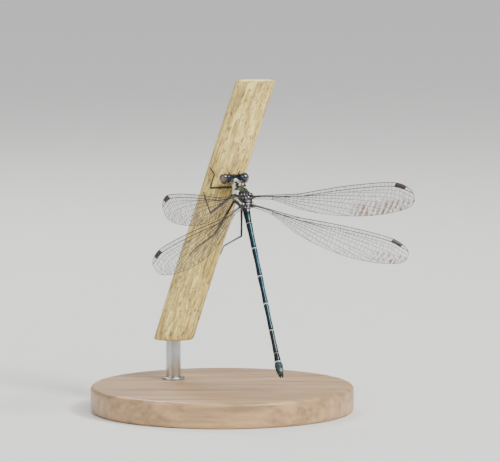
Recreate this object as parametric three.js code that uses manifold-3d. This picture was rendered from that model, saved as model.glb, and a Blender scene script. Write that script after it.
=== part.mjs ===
// A flatwing damselfly, life size, resting with open wings on a cut length of dry stem,
// on a plain round stand. Millimetres.
// World frame: +Z up, +X to the insect's right wings, -Y to the side that it is looked at from,
// and the origin at the centre of the base's underside.
// Insect frame: +X its right, +Y forwards to the head, +Z dorsal, with the abdomen's axis
// along Y through the origin.
import * as THREE from "three";
import { mergeVertices } from "three/addons/utils/BufferGeometryUtils.js";
import Module from "manifold-3d";

const wasm = await Module();
wasm.setup();
const { Vector3 } = THREE;
const degrees = THREE.MathUtils.degToRad;

// Clearance between pieces that touch.
const GAP = 0.3;

// Pose of the whole insect.
const BODY_PLACE = new Vector3(3.7, 3.5, 37.2);
const BODY_LEAN = degrees(-12.3); // in the plane that is looked at, tail to +X
const BODY_TILT = degrees(-23.9); // tail towards the viewer
const BODY_ROLL = degrees(32.3); // back turned to +X

// Thorax and neck, as [y, lowest z, highest z, half width] stations from the front.
const THORAX_STATIONS = [
  [2.1, -1.85, -0.45, 0.66],
  [1.75, -2.25, 0.2, 1.02],
  [1.05, -2.4, 1.0, 1.34],
  [0.3, -2.3, 1.6, 1.46],
  [-0.5, -1.95, 1.82, 1.42],
  [-1.15, -1.45, 1.72, 1.28],
  [-1.75, -1.0, 1.42, 1.06],
  [-2.25, -0.72, 1.02, 0.84],
  [-2.55, -0.6, 0.74, 0.66],
];
const PROTHORAX_STATIONS = [
  [3.3, -1.75, -0.95, 0.3],
  [3.1, -1.9, -0.7, 0.5],
  [2.8, -1.98, -0.48, 0.64],
  [2.35, -1.95, -0.3, 0.72],
];
const THORAX_SIDES = 20;
const BACK_PLATES = [
  // [y, z, radius]
  [0.4, 1.6, 0.55],
  [-0.45, 1.82, 0.42],
  [-1.25, 1.68, 0.48],
  [-1.95, 1.25, 0.36],
];
const BACK_PLATE_HALF_HEIGHT = 0.3;
const WING_BOSS = new Vector3(0.5, 0.62, 0.42); // radii of the swelling at each wing's root
const COXA = { radius: 0.42, length: 0.95 };
const BUMP_SIDES = [12, 8]; // columns and rows of small rounded parts

// Head, centred on its own frame: +X right, +Y to the face, +Z to the crown.
const HEAD_PLACE = new Vector3(-0.14, 4.12, -1.55);
const HEAD_YAW = degrees(-5);
const HEAD_ROLL = degrees(-14);
const HEAD_PITCH = degrees(-8);
const EYE = { x: 1.8, radii: new Vector3(0.86, 0.96, 1.06), columns: 18, rows: 12 };
const CAPSULE_SIDES = 16;
const CAPSULE_STATIONS = [
  // [share of the eye's x, half depth, half height, y of the middle]
  [-1.12, 0.4, 0.5, 0],
  [-0.95, 0.72, 0.86, 0],
  [-0.62, 0.66, 0.84, 0.02],
  [-0.3, 0.6, 0.82, 0.06],
  [0, 0.58, 0.8, 0.08],
  [0.3, 0.6, 0.82, 0.06],
  [0.62, 0.66, 0.84, 0.02],
  [0.95, 0.72, 0.86, 0],
  [1.12, 0.4, 0.5, 0],
];
const ANTENNA = { x: 0.78, y: 0.62, z: 0.42, base: 0.27, tip: 0.1, length: 2.1 };

// Abdomen: segment lengths in life, and radii at the front, middle and rear of each.
const ABDOMEN_START = -2.6;
const ABDOMEN = [
  { length: 0.75, radii: [0.6, 0.62, 0.6] },
  { length: 1.6, radii: [0.6, 0.53, 0.55] },
  { length: 4.7, radii: [0.55, 0.49, 0.52] },
  { length: 5.2, radii: [0.52, 0.43, 0.49] },
  { length: 5.1, radii: [0.49, 0.42, 0.48] },
  { length: 4.9, radii: [0.48, 0.42, 0.47] },
  { length: 4.3, radii: [0.47, 0.44, 0.5] },
  { length: 1.5, radii: [0.5, 0.52, 0.58] },
  { length: 1.7, radii: [0.66, 0.76, 0.7] },
  { length: 0.7, radii: [0.64, 0.6, 0.5] },
];
const ABDOMEN_SIDES = 14;
const APPENDAGE = { x: 0.24, foot: 0.195, waist: 0.221, end: 0.12, length: 0.65 };

// Wings, as [share of the length, leading offset, trailing offset] stations, with the offsets
// measured from the line from root to tip.
const WING_STATIONS = [
  [0, 0.3, 0.3],
  [0.06, 0.32, 0.33],
  [0.12, 0.34, 0.5],
  [0.18, 0.36, 1.05],
  [0.24, 0.42, 1.75],
  [0.3, 0.55, 2.35],
  [0.37, 0.95, 2.8],
  [0.45, 1.4, 3.15],
  [0.54, 1.9, 3.4],
  [0.63, 2.3, 3.45],
  [0.72, 2.65, 3.3],
  [0.8, 2.88, 2.98],
  [0.855, 2.95, 2.65],
  [0.895, 2.85, 2.35],
  [0.93, 2.5, 2.0],
  [0.96, 1.95, 1.6],
  [0.985, 1.15, 1.0],
  [1, 0.3, 0.25],
];
const VEIN_SHARES = [0.14, 0.33, 0.53, 0.75]; // main veins, as shares of the chord behind the leading edge
const VEIN_HALF_SHARE = 0.04;
const MEMBRANE_HALF = 0.25;
const EDGE_HALF = 0.27;
const VEIN_HALF = 0.36;
const WING_TIP_THINNING = 0.35;
const WING_CAMBER = 0.3;
const STIGMA = { from: 0.85, to: 0.935, half: 0.4 }; // the dark cell near the tip
const WINGS = [
  {
    name: "wing_fore",
    length: 28.5,
    lead: 1,
    trail: 1,
    root: [1.05, 0, 1.42],
    right: { sweep: 14.6, dihedral: 31.2, pitch: 1.4 },
    left: { sweep: 16.8, dihedral: 29.4, pitch: -2.4 },
  },
  {
    name: "wing_hind",
    length: 28.9,
    lead: 0.72,
    trail: 1.1,
    root: [0.95, -1.7, 1.2],
    right: { sweep: 27.6, dihedral: 16.9, pitch: 3.5 },
    left: { sweep: 29.6, dihedral: 16, pitch: 0.7 },
  },
];

// Legs. Hip and knee are places in the insect frame. Ankle and toe are on the stem,
// as [height, angle round it from the viewer].
const LEG = { sides: 8, hip: 0.34, knee: 0.27, ankle: 0.25, toe: 0.14 };
const FOOT_LIFT = GAP + 0.06; // from the stem's mean surface to a foot
const LEGS = [
  {
    name: "leg_left_fore",
    hip: [-0.6, 2.7, -1.95],
    knee: [-4.06, 3.18, -3.57],
    ankle: [40.75, -33],
    toe: [41.75, -57],
  },
  {
    name: "leg_left_mid",
    hip: [-0.65, 1.25, -2.2],
    knee: [-4.25, -1.0, -5.01],
    ankle: [36.5, -37],
    toe: [37.5, -51],
  },
  {
    name: "leg_left_hind",
    hip: [-0.65, 0, -2.0],
    knee: [-3.86, -4.76, -5.84],
    ankle: [28.25, -13],
    toe: [26.75, -31],
  },
  {
    name: "leg_right_fore",
    hip: [0.6, 2.7, -1.95],
    knee: [3.0, 3.5, -3.6],
    ankle: [39.6, 118],
    toe: [40.2, 143],
  },
  {
    name: "leg_right_mid",
    hip: [0.65, 1.25, -2.2],
    knee: [4.7, 1.69, -4.81],
    ankle: [36.8, 122],
    toe: [37.4, 146],
  },
  {
    name: "leg_right_hind",
    hip: [0.65, 0, -2.0],
    knee: [0.82, -5.53, -4.79],
    ankle: [28, 84],
    toe: [26.6, 100],
  },
];

// Stem: its centre line by height, with half widths across and along the view.
const STEM = {
  foot: 11.6,
  top: 57,
  middle: 34,
  x: -1.56,
  y: 9.7,
  slopeX: 0.321,
  slopeY: 0.105,
  bend: 0.0002,
};
const STEM_SECTION = { across: 3.55, along: 2.6, ribs: 7, ribDepth: 0.035, sides: 28, rings: 11 };

// Stand.
const BASE = { radius: 23, height: 4.5, bevel: 0.7, segments: 56 };
const ROD = { radius: 1.3, segments: 20 };

const colours = {
  metal: new THREE.MeshStandardMaterial({ color: 0x14363a, roughness: 0.28, metalness: 0.75 }),
  thorax: new THREE.MeshStandardMaterial({ color: 0x3f4a3f, roughness: 0.45, metalness: 0.3 }),
  eye: new THREE.MeshStandardMaterial({ color: 0x4a3526, roughness: 0.25, metalness: 0 }),
  leg: new THREE.MeshStandardMaterial({ color: 0x14100d, roughness: 0.4, metalness: 0 }),
  wing: new THREE.MeshStandardMaterial({ color: 0xcfd2c4, roughness: 0.2, metalness: 0 }),
  stem: new THREE.MeshStandardMaterial({ color: 0xcdb887, roughness: 0.85, metalness: 0 }),
  stand: new THREE.MeshStandardMaterial({ color: 0xc9a878, roughness: 0.5, metalness: 0 }),
  rod: new THREE.MeshStandardMaterial({ color: 0xb6b8ba, roughness: 0.3, metalness: 1 }),
};

// Solids.

function solidOf(geometry) {
  const bare = new THREE.BufferGeometry().setAttribute("position", geometry.getAttribute("position"));
  if (geometry.index) bare.setIndex(geometry.index);
  const merged = mergeVertices(bare, 1e-4);
  return new wasm.Manifold(
    new wasm.Mesh({
      numProp: 3,
      vertProperties: new Float32Array(merged.attributes.position.array),
      triVerts: new Uint32Array(merged.index.array),
    }),
  );
}

function geometryOf(solid) {
  const pieces = solid.decompose();
  const largest = pieces.reduce((a, b) => (a.volume() > b.volume() ? a : b));
  const mesh = largest.getMesh();
  return new THREE.BufferGeometry()
    .setAttribute("position", new THREE.BufferAttribute(new Float32Array(mesh.vertProperties), 3))
    .setIndex(new THREE.BufferAttribute(new Uint32Array(mesh.triVerts), 1));
}

// A closed surface through rings of points. The rings turn anticlockwise as seen from the last one.
function loft(rings) {
  const sides = rings[0].length;
  const points = rings.flat();
  const faces = [];
  const at = (ring, side) => ring * sides + (side % sides);
  for (let ring = 0; ring + 1 < rings.length; ring++) {
    for (let side = 0; side < sides; side++) {
      faces.push(at(ring, side), at(ring, side + 1), at(ring + 1, side + 1));
      faces.push(at(ring, side), at(ring + 1, side + 1), at(ring + 1, side));
    }
  }
  for (const ring of [0, rings.length - 1]) {
    const middle = rings[ring].reduce((sum, p) => sum.add(p), new Vector3()).divideScalar(sides);
    points.push(middle);
    for (let side = 0; side < sides; side++) {
      const edge = [at(ring, side), at(ring, side + 1)];
      if (ring === 0) edge.reverse();
      faces.push(...edge, points.length - 1);
    }
  }
  return new THREE.BufferGeometry().setFromPoints(points).setIndex(faces);
}

// An oval ring across the Y axis, for lofts that run towards -Y.
function ovalAcrossY(y, low, high, halfWidth, sides) {
  const middle = (low + high) / 2;
  const halfHeight = (high - low) / 2;
  return Array.from({ length: sides }, (_, i) => {
    const angle = (i / sides) * 2 * Math.PI;
    return new Vector3(halfWidth * Math.sin(angle), y, middle + halfHeight * Math.cos(angle));
  }).reverse();
}

// A loft through [y, low, high, half width] stations, optionally grown on all sides.
function bodyLoft(stations, grow = 0) {
  const last = stations.length - 1;
  const rings = stations.map(([y, low, high, halfWidth], i) => {
    const end = i === 0 ? grow : i === last ? -grow : 0;
    return ovalAcrossY(y + end, low - grow, high + grow, halfWidth + grow, THORAX_SIDES);
  });
  return solidOf(loft(rings));
}

// A round tube along points, with a radius at each.
function tube(points, radii, sides) {
  const rings = [];
  let across = null;
  points.forEach((point, i) => {
    const before = points[Math.max(i - 1, 0)];
    const after = points[Math.min(i + 1, points.length - 1)];
    const along = after.clone().sub(before).normalize();
    if (!across) {
      const other = Math.abs(along.z) < 0.9 ? new Vector3(0, 0, 1) : new Vector3(1, 0, 0);
      across = other.cross(along).normalize();
    } else {
      across.addScaledVector(along, -across.dot(along)).normalize();
    }
    const up = along.clone().cross(across);
    rings.push(
      Array.from({ length: sides }, (_, k) => {
        const angle = (k / sides) * 2 * Math.PI;
        return point
          .clone()
          .addScaledVector(across, radii[i] * Math.cos(angle))
          .addScaledVector(up, radii[i] * Math.sin(angle));
      }),
    );
  });
  return solidOf(loft(rings));
}

function ellipsoid(centre, radii, columns = 16, rows = 10) {
  const geometry = new THREE.SphereGeometry(1, columns, rows);
  geometry.scale(radii.x, radii.y, radii.z).translate(centre.x, centre.y, centre.z);
  return solidOf(geometry);
}

function grown(radii, amount) {
  return radii.clone().addScalar(amount);
}

const root = new THREE.Group();
const insect = new THREE.Group();
insect.position.copy(BODY_PLACE);
insect.quaternion
  .setFromEuler(new THREE.Euler(0, BODY_LEAN, 0))
  .multiply(new THREE.Quaternion().setFromEuler(new THREE.Euler(BODY_TILT + Math.PI / 2, 0, 0)))
  .multiply(new THREE.Quaternion().setFromEuler(new THREE.Euler(0, BODY_ROLL, 0)));
root.add(insect);
root.updateMatrixWorld(true);

function addNode(group, name, solid, material) {
  const mesh = new THREE.Mesh(geometryOf(solid), material);
  mesh.name = name;
  group.add(mesh);
}

// Thorax with its coxae, and the prothorax in front of it.

function coxaAxis(leg) {
  const hip = new Vector3(...leg.hip);
  const knee = new Vector3(...leg.knee);
  const down = new Vector3(Math.sign(hip.x) * 0.35, 0.1, -1).normalize();
  return { hip, knee, end: hip.clone().addScaledVector(down, COXA.length * 0.35) };
}

function thoraxSolid(grow = 0) {
  return bodyLoft(THORAX_STATIONS, grow);
}

function coxaSolid(leg, grow = 0) {
  const { hip, end } = coxaAxis(leg);
  const inner = new Vector3(hip.x * 0.6, hip.y, hip.z + 0.8);
  const radius = COXA.radius + grow;
  const past = end.clone().addScaledVector(end.clone().sub(inner).normalize(), grow);
  return tube([inner, hip, past], [radius, radius, radius * 0.85], LEG.sides);
}

const forelegs = LEGS.filter((leg) => leg.name.endsWith("fore"));
const otherLegs = LEGS.filter((leg) => !leg.name.endsWith("fore"));

function synthoraxSolid(grow = 0) {
  let solid = thoraxSolid(grow);
  for (const leg of otherLegs) solid = solid.add(coxaSolid(leg, grow));
  for (const side of [1, -1]) {
    for (const wing of WINGS) {
      const place = new Vector3(side * (wing.root[0] - 0.1), wing.root[1], wing.root[2]);
      solid = solid.add(ellipsoid(place, grown(WING_BOSS, grow), ...BUMP_SIDES));
    }
  }
  // The four raised plates of the back, between the wing roots.
  for (const [y, z, radius] of BACK_PLATES) {
    const radii = grown(new Vector3(radius, radius, BACK_PLATE_HALF_HEIGHT), grow);
    solid = solid.add(ellipsoid(new Vector3(0, y, z), radii, ...BUMP_SIDES));
  }
  return solid;
}

function prothoraxSolid(grow = 0) {
  let solid = bodyLoft(PROTHORAX_STATIONS, grow);
  for (const leg of forelegs) solid = solid.add(coxaSolid(leg, grow));
  // The raised hind lobe, like a small collar.
  const radii = grown(new Vector3(0.6, 0.25, 0.5), grow);
  const lobe = ellipsoid(new Vector3(0, 2.6, -0.55), radii, ...BUMP_SIDES);
  return solid.add(lobe);
}

const synthorax = synthoraxSolid();
const synthoraxRoom = synthoraxSolid(GAP);
addNode(insect, "synthorax", synthorax, colours.thorax);
const prothorax = prothoraxSolid().subtract(synthoraxRoom);
const prothoraxRoom = prothoraxSolid(GAP);
addNode(insect, "prothorax", prothorax, colours.thorax);

// Head, eyes and antennae.

const headTurn = new THREE.Matrix4()
  .makeRotationFromEuler(new THREE.Euler(HEAD_PITCH, HEAD_ROLL, HEAD_YAW, "ZYX"))
  .setPosition(HEAD_PLACE);

function inHeadFrame(solid) {
  const geometry = geometryOf(solid).applyMatrix4(headTurn);
  return solidOf(geometry);
}

function capsuleSolid() {
  const rings = CAPSULE_STATIONS.map(([share, halfDepth, halfHeight, y]) =>
    Array.from({ length: CAPSULE_SIDES }, (_, i) => {
      const angle = (i / CAPSULE_SIDES) * 2 * Math.PI;
      return new Vector3(share * EYE.x, y + halfDepth * Math.cos(angle), halfHeight * Math.sin(angle));
    }),
  );
  let head = solidOf(loft(rings));
  const features = [
    { place: [0, 0.62, -0.3], radii: [0.85, 0.5, 0.52] }, // frons and clypeus
    { place: [0, 0.75, -0.78], radii: [0.56, 0.36, 0.34] }, // labrum
    { place: [0, 0.1, -0.85], radii: [0.6, 0.5, 0.4] }, // labium
    { place: [0.62, 0.55, -0.72], radii: [0.25, 0.28, 0.36] }, // mandibles
    { place: [-0.62, 0.55, -0.72], radii: [0.25, 0.28, 0.36] },
    { place: [0, 0.42, 0.72], radii: [0.14, 0.14, 0.12] }, // the three simple eyes
    { place: [0.3, 0.15, 0.78], radii: [0.14, 0.14, 0.12] },
    { place: [-0.3, 0.15, 0.78], radii: [0.14, 0.14, 0.12] },
  ];
  for (const { place, radii } of features) {
    head = head.add(ellipsoid(new Vector3(...place), new Vector3(...radii), ...BUMP_SIDES));
  }
  return head;
}

function eyeSolid(side, grow = 0) {
  const centre = new Vector3(side * EYE.x, 0, 0);
  return ellipsoid(centre, grown(EYE.radii, grow), EYE.columns, EYE.rows);
}

let head = capsuleSolid();
for (const side of [1, -1]) head = head.subtract(eyeSolid(side, GAP));
addNode(insect, "head", inHeadFrame(head).subtract(prothoraxRoom), colours.metal);
for (const [side, label] of [[1, "right"], [-1, "left"]]) {
  addNode(insect, `eye_${label}`, inHeadFrame(eyeSolid(side)), colours.eye);
  const start = new Vector3(side * ANTENNA.x, ANTENNA.y + GAP, ANTENNA.z);
  const lie = new Vector3(side * 0.35, 0.85, 0.2).normalize();
  const points = [0, 0.2, 0.45, 1].map((share) =>
    start.clone().addScaledVector(lie, share * ANTENNA.length),
  );
  const radii = [ANTENNA.base, ANTENNA.base, (ANTENNA.base + ANTENNA.tip) / 2, ANTENNA.tip];
  let antenna = tube(points, radii, LEG.sides);
  for (const eye of [1, -1]) antenna = antenna.subtract(eyeSolid(eye, GAP));
  addNode(insect, `antenna_${label}`, inHeadFrame(antenna), colours.metal);
}

// Abdomen of ten segments, each a ring-ended barrel, and the two tail appendages.

let front = ABDOMEN_START;
ABDOMEN.forEach(({ length, radii }, i) => {
  const [first, middle, last] = radii;
  const from = front - GAP / 2;
  const to = front - length + GAP / 2;
  const span = from - to;
  const stations = [
    [0, first * 0.9],
    [0.06, first],
    [0.14, first * 0.97],
    [0.5, middle],
    [0.88, last * 0.97],
    [0.95, last],
    [1, last * 0.88],
  ];
  const rings = stations.map(([share, radius]) =>
    ovalAcrossY(from - share * span, -radius, radius, radius, ABDOMEN_SIDES),
  );
  let segment = solidOf(loft(rings));
  if (i === 0) segment = segment.subtract(synthoraxRoom);
  addNode(insect, `abdomen_${i + 1}`, segment, colours.metal);
  front -= length;
});

for (const [side, label] of [[1, "right"], [-1, "left"]]) {
  const start = new Vector3(side * APPENDAGE.x, front - GAP / 2, 0.06);
  const bend = start.clone().add(new Vector3(side * 0.12, -APPENDAGE.length * 0.55, 0));
  const tip = start.clone().add(new Vector3(side * 0.03, -APPENDAGE.length, -0.1));
  const { foot, waist, end } = APPENDAGE;
  const clasper = tube([start, bend, tip], [foot, waist, end], LEG.sides);
  addNode(insect, `appendage_${label}`, clasper, colours.metal);
}

// Wings: one closed blade each, with the main veins raised as ridges on both faces.

function wingSolid(wing) {
  const chordShares = [0];
  for (const share of VEIN_SHARES) {
    chordShares.push(share - VEIN_HALF_SHARE, share, share + VEIN_HALF_SHARE);
  }
  chordShares.push(1);
  const rings = WING_STATIONS.map(([share, lead, trail]) => {
    const x = share * wing.length;
    const front = lead * wing.lead;
    const back = -trail * wing.trail;
    const thin = 1 - WING_TIP_THINNING * share;
    const ridge = Math.min(1, (front - back) / 2);
    const faces = chordShares.map((chord) => {
      const isEdge = chord === 0 || chord === 1;
      const isVein = VEIN_SHARES.includes(chord);
      const inStigma = share >= STIGMA.from && share <= STIGMA.to && chord < VEIN_SHARES[0];
      const rise = isVein ? (VEIN_HALF - MEMBRANE_HALF) * ridge : 0;
      const half = inStigma ? STIGMA.half : isEdge ? EDGE_HALF * thin : (MEMBRANE_HALF + rise) * thin;
      const camber = WING_CAMBER * Math.sin(Math.PI * share) * Math.sin(Math.PI * chord);
      return { x, y: front + (back - front) * chord, middle: camber, half };
    });
    const above = faces.map((f) => new Vector3(f.x, f.y, f.middle + f.half));
    const below = faces.map((f) => new Vector3(f.x, f.y, f.middle - f.half)).reverse();
    return [...above, ...below];
  });
  return bladeSolid(rings, chordShares.length);
}

// A blade from rings that go over the top from the leading edge and back underneath,
// with its quads split alike on both faces.
function bladeSolid(rings, across) {
  const sides = across * 2;
  const points = rings.flat();
  const faces = [];
  const at = (ring, side) => ring * sides + (side % sides);
  for (let ring = 0; ring + 1 < rings.length; ring++) {
    for (let side = 0; side < sides; side++) {
      const corners = [at(ring, side), at(ring, side + 1), at(ring + 1, side + 1), at(ring + 1, side)];
      const [a, b, c, d] = corners;
      if (side < across) faces.push(a, b, c, a, c, d);
      else faces.push(a, b, d, b, c, d);
    }
  }
  for (const ring of [0, rings.length - 1]) {
    for (let k = 0; k + 1 < across; k++) {
      const quad = [at(ring, k), at(ring, k + 1), at(ring, sides - 2 - k), at(ring, sides - 1 - k)];
      if (ring === 0) quad.reverse();
      const [a, b, c, d] = quad;
      faces.push(a, b, c, a, c, d);
    }
  }
  return solidOf(new THREE.BufferGeometry().setFromPoints(points).setIndex(faces));
}

function placedWing(wing, side) {
  const blade = geometryOf(wingSolid(wing));
  const { sweep, dihedral, pitch } = side > 0 ? wing.right : wing.left;
  blade
    .rotateX(degrees(pitch))
    .rotateZ(-degrees(sweep))
    .rotateY(-degrees(dihedral))
    .translate(...wing.root);
  if (side < 0) {
    blade.scale(-1, 1, 1);
    const index = blade.index.array;
    for (let i = 0; i < index.length; i += 3) {
      [index[i + 1], index[i + 2]] = [index[i + 2], index[i + 1]];
    }
  }
  return solidOf(blade);
}

for (const wing of WINGS) {
  for (const [side, label] of [[1, "right"], [-1, "left"]]) {
    const blade = placedWing(wing, side).subtract(synthoraxRoom);
    addNode(insect, `${wing.name}_${label}`, blade, colours.wing);
  }
}

// Stem.

function stemCentre(z) {
  const up = z - STEM.middle;
  return new Vector3(STEM.x + STEM.slopeX * up + STEM.bend * up * up, STEM.y + STEM.slopeY * up, z);
}

function onStem([z, angle], lift) {
  const { across, along } = STEM_SECTION;
  const turn = degrees(angle);
  const point = stemCentre(z).add(new Vector3(across * Math.sin(turn), -along * Math.cos(turn), 0));
  const outwards = new Vector3(Math.sin(turn) / across, -Math.cos(turn) / along, 0).normalize();
  return point.addScaledVector(outwards, lift);
}

const stemRings = Array.from({ length: STEM_SECTION.rings }, (_, i) => {
  const z = THREE.MathUtils.lerp(STEM.foot, STEM.top, i / (STEM_SECTION.rings - 1));
  const { across, along } = STEM_SECTION;
  return Array.from({ length: STEM_SECTION.sides }, (_, k) => {
    const angle = (k / STEM_SECTION.sides) * 2 * Math.PI;
    const size = 1 - STEM_SECTION.ribDepth * (0.5 - 0.5 * Math.cos(angle * STEM_SECTION.ribs));
    const reach = new Vector3(across * Math.cos(angle), along * Math.sin(angle), 0);
    return stemCentre(z).addScaledVector(reach, size);
  });
});
const stem = solidOf(loft(stemRings));
addNode(root, "perch_stem", stem, colours.stem);

// Legs: a thigh to the knee, then a shin with its foot along the stem.

for (const leg of LEGS) {
  const { hip, knee, end } = coxaAxis(leg);
  const start = hip.clone().lerp(end, 0.5);
  const bodyRoom = leg.name.endsWith("fore") ? prothoraxRoom.add(synthoraxRoom) : synthoraxRoom;
  const thighPath = [start, start.clone().lerp(knee, 0.35), knee];
  const thighRadii = [LEG.hip, LEG.hip, LEG.knee];
  const thighSolid = (grow) =>
    tube(
      thighPath,
      thighRadii.map((radius) => radius + grow),
      LEG.sides,
    );
  const toInsect = (place, lift) => insect.worldToLocal(onStem(place, lift));
  const ankle = toInsect(leg.ankle, FOOT_LIFT + LEG.ankle);
  const toe = toInsect(leg.toe, FOOT_LIFT + LEG.toe);
  const middle = toInsect(
    [(leg.ankle[0] + leg.toe[0]) / 2, (leg.ankle[1] + leg.toe[1]) / 2],
    FOOT_LIFT + LEG.ankle,
  );
  const shin = tube(
    [knee, knee.clone().lerp(ankle, 0.5), ankle, middle, toe],
    [LEG.knee, LEG.ankle, LEG.ankle, (LEG.ankle + LEG.toe) / 2, LEG.toe],
    LEG.sides,
  );
  addNode(insect, `${leg.name}_thigh`, thighSolid(0).subtract(bodyRoom), colours.leg);
  addNode(insect, `${leg.name}_shin`, shin.subtract(thighSolid(GAP)), colours.leg);
}

// Stand: a round base with eased edges, and one rod up into line with the stem.

const baseProfile = [
  [0, 0],
  [BASE.radius - BASE.bevel / 2, 0],
  [BASE.radius, BASE.bevel / 2],
  [BASE.radius, BASE.height - BASE.bevel],
  [BASE.radius - BASE.bevel, BASE.height],
  [0, BASE.height],
].map(([x, y]) => new THREE.Vector2(x, y));
const baseGeometry = new THREE.LatheGeometry(baseProfile, BASE.segments).rotateX(Math.PI / 2);
addNode(root, "stand_base", solidOf(baseGeometry), colours.stand);

const rodFoot = BASE.height + GAP;
const rodLength = STEM.foot - GAP - rodFoot;
const rodGeometry = new THREE.CylinderGeometry(ROD.radius, ROD.radius, rodLength, ROD.segments)
  .rotateX(Math.PI / 2)
  .translate(0, 0, rodFoot + rodLength / 2);
const rodCentre = stemCentre(STEM.foot);
rodGeometry.translate(rodCentre.x, rodCentre.y, 0);
addNode(root, "stand_rod", solidOf(rodGeometry), colours.rod);

export default root;
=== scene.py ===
"""A life-size damselfly with open wings on a cut length of dry stem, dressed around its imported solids.

Shapes are worked out in millimetres. The insect's own frame has +X to its right, +Y to its head and +Z to
its back, with the abdomen's axis along Y through the origin. A finished piece's mesh is in metres in the
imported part's frame.
"""

import math

import bpy
import numpy as np
from bpy.props import FloatProperty, FloatVectorProperty, IntProperty, PointerProperty
from mathutils import Euler, Matrix, Vector


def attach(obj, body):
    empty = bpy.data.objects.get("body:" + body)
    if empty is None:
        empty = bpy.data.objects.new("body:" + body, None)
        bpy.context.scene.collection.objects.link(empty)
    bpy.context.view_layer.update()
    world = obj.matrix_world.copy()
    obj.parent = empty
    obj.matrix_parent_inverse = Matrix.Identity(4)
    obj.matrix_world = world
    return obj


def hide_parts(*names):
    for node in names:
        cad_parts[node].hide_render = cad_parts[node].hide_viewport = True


bl_info = {
    "name": "Damselfly on a stem",
    "version": (1, 0, 0),
    "blender": (4, 5, 0),
    "location": "View3D > Sidebar > Damselfly",
    "description": "Makes a life-size damselfly gripping a dry stem on a round stand",
    "category": "Object",
}

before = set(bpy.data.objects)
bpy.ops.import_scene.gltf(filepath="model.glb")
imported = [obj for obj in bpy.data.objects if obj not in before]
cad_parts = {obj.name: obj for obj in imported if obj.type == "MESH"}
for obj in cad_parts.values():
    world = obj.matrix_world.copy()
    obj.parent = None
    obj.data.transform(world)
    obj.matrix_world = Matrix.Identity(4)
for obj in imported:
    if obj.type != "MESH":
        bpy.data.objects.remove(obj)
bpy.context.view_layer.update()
MM = 0.001

# The insect's pose.
BODY_PLACE = Vector((3.7, 3.5, 37.2))
LEAN, TILT, ROLL = (math.radians(a) for a in (-12.3, -23.9, 32.3))
POSE = (
    Matrix.Translation(BODY_PLACE)
    @ Matrix.Rotation(LEAN, 4, "Y")
    @ Matrix.Rotation(TILT + math.pi / 2, 4, "X")
    @ Matrix.Rotation(ROLL, 4, "Y")
)

# The head's pose in the insect's frame.
HEAD_PLACE = Vector((-0.14, 4.12, -1.55))
HEAD_TURN = Euler([math.radians(a) for a in (-8, -14, -5)], "XYZ")
HEAD_POSE = Matrix.Translation(HEAD_PLACE) @ HEAD_TURN.to_matrix().to_4x4()
EYE_X = 1.8
EYE_RADII = (0.86, 0.96, 1.06)
EYE_CAP_AND_SHADE_REACH = {"right": 0.5, "left": 0.06}  # how far the dark cap comes over each eye; the right eye's larger cap is painted shade, since both eyes are alike

# Thorax and prothorax as (y, lowest z, highest z, half width) stations from the front.
THORAX = np.array(
    [
        (2.1, -2.05, -0.42, 0.76),
        (1.75, -2.25, 0.2, 1.02),
        (1.05, -2.4, 1.0, 1.34),
        (0.3, -2.3, 1.6, 1.46),
        (-0.5, -1.95, 1.82, 1.42),
        (-1.15, -1.45, 1.72, 1.28),
        (-1.75, -1.0, 1.42, 1.06),
        (-2.25, -0.72, 1.02, 0.84),
        (-2.6, -0.58, 0.66, 0.6),
    ]
)
PROTHORAX = np.array(
    [
        (3.95, -1.8, -1.12, 0.3),
        (3.7, -1.9, -1.0, 0.35),
        (3.4, -1.98, -0.82, 0.47),
        (3.05, -2.02, -0.6, 0.62),
        (2.7, -2.08, -0.42, 0.74),
        (2.2, -2.1, -0.32, 0.8),
    ]
)

# Abdomen segments: (length, radius at the front, middle and rear).
ABDOMEN_START = -2.6
ABDOMEN = (
    (0.75, 0.62, 0.64, 0.62),
    (1.6, 0.61, 0.55, 0.56),
    (4.7, 0.54, 0.46, 0.49),
    (5.2, 0.48, 0.41, 0.47),
    (5.1, 0.46, 0.4, 0.46),
    (4.9, 0.45, 0.4, 0.45),
    (4.3, 0.44, 0.42, 0.48),
    (1.5, 0.48, 0.52, 0.57),
    (1.7, 0.64, 0.74, 0.69),
    (0.7, 0.62, 0.58, 0.46),
)

# Wing outline as (share of the length, leading offset, trailing offset) from the line from root to tip.
WING_OUTLINE = np.array(
    [
        (0, 0.28, 0.28),
        (0.06, 0.3, 0.31),
        (0.12, 0.33, 0.48),
        (0.18, 0.36, 1.03),
        (0.24, 0.42, 1.73),
        (0.3, 0.55, 2.33),
        (0.37, 0.94, 2.78),
        (0.45, 1.39, 3.13),
        (0.54, 1.88, 3.38),
        (0.63, 2.28, 3.43),
        (0.72, 2.63, 3.28),
        (0.8, 2.86, 2.96),
        (0.855, 2.93, 2.63),
        (0.895, 2.83, 2.33),
        (0.93, 2.48, 1.98),
        (0.96, 1.93, 1.58),
        (0.985, 1.13, 0.98),
        (1, 0.2, 0.15),
    ]
)
WING_CAMBER = 0.3

# The wings. "right" and "left" are each wing's sweep, dihedral and pitch in degrees, and the two sags are
# how far its tip and its root hang lower, in millimetres.
WINGS = {
    "fore": {
        "length": 28.5,
        "lead": 1,
        "trail": 1,
        "root": (1.05, 0, 1.42),
        "right": (14.6, 31.2, 1.4),
        "left": (16.8, 29.4, -2.4),
        "right_sag": (0, 0.67),
        "left_sag": (0.23, 0.38),
    },
    "hind": {
        "length": 28.9,
        "lead": 0.72,
        "trail": 1.1,
        "root": (0.95, -1.7, 1.2),
        "right": (27.6, 16.9, 3.5),
        "left": (29.6, 16, 0.7),
        "right_sag": (0, 0.42),
        "left_sag": (0, 0.35),
    },
}
STIGMA = (0.872, 0.939)  # the dark cell, as shares of the length
REFLECTION_BAR_SPACING = 0.92  # between the coppery bars, which are a painted reflection
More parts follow.
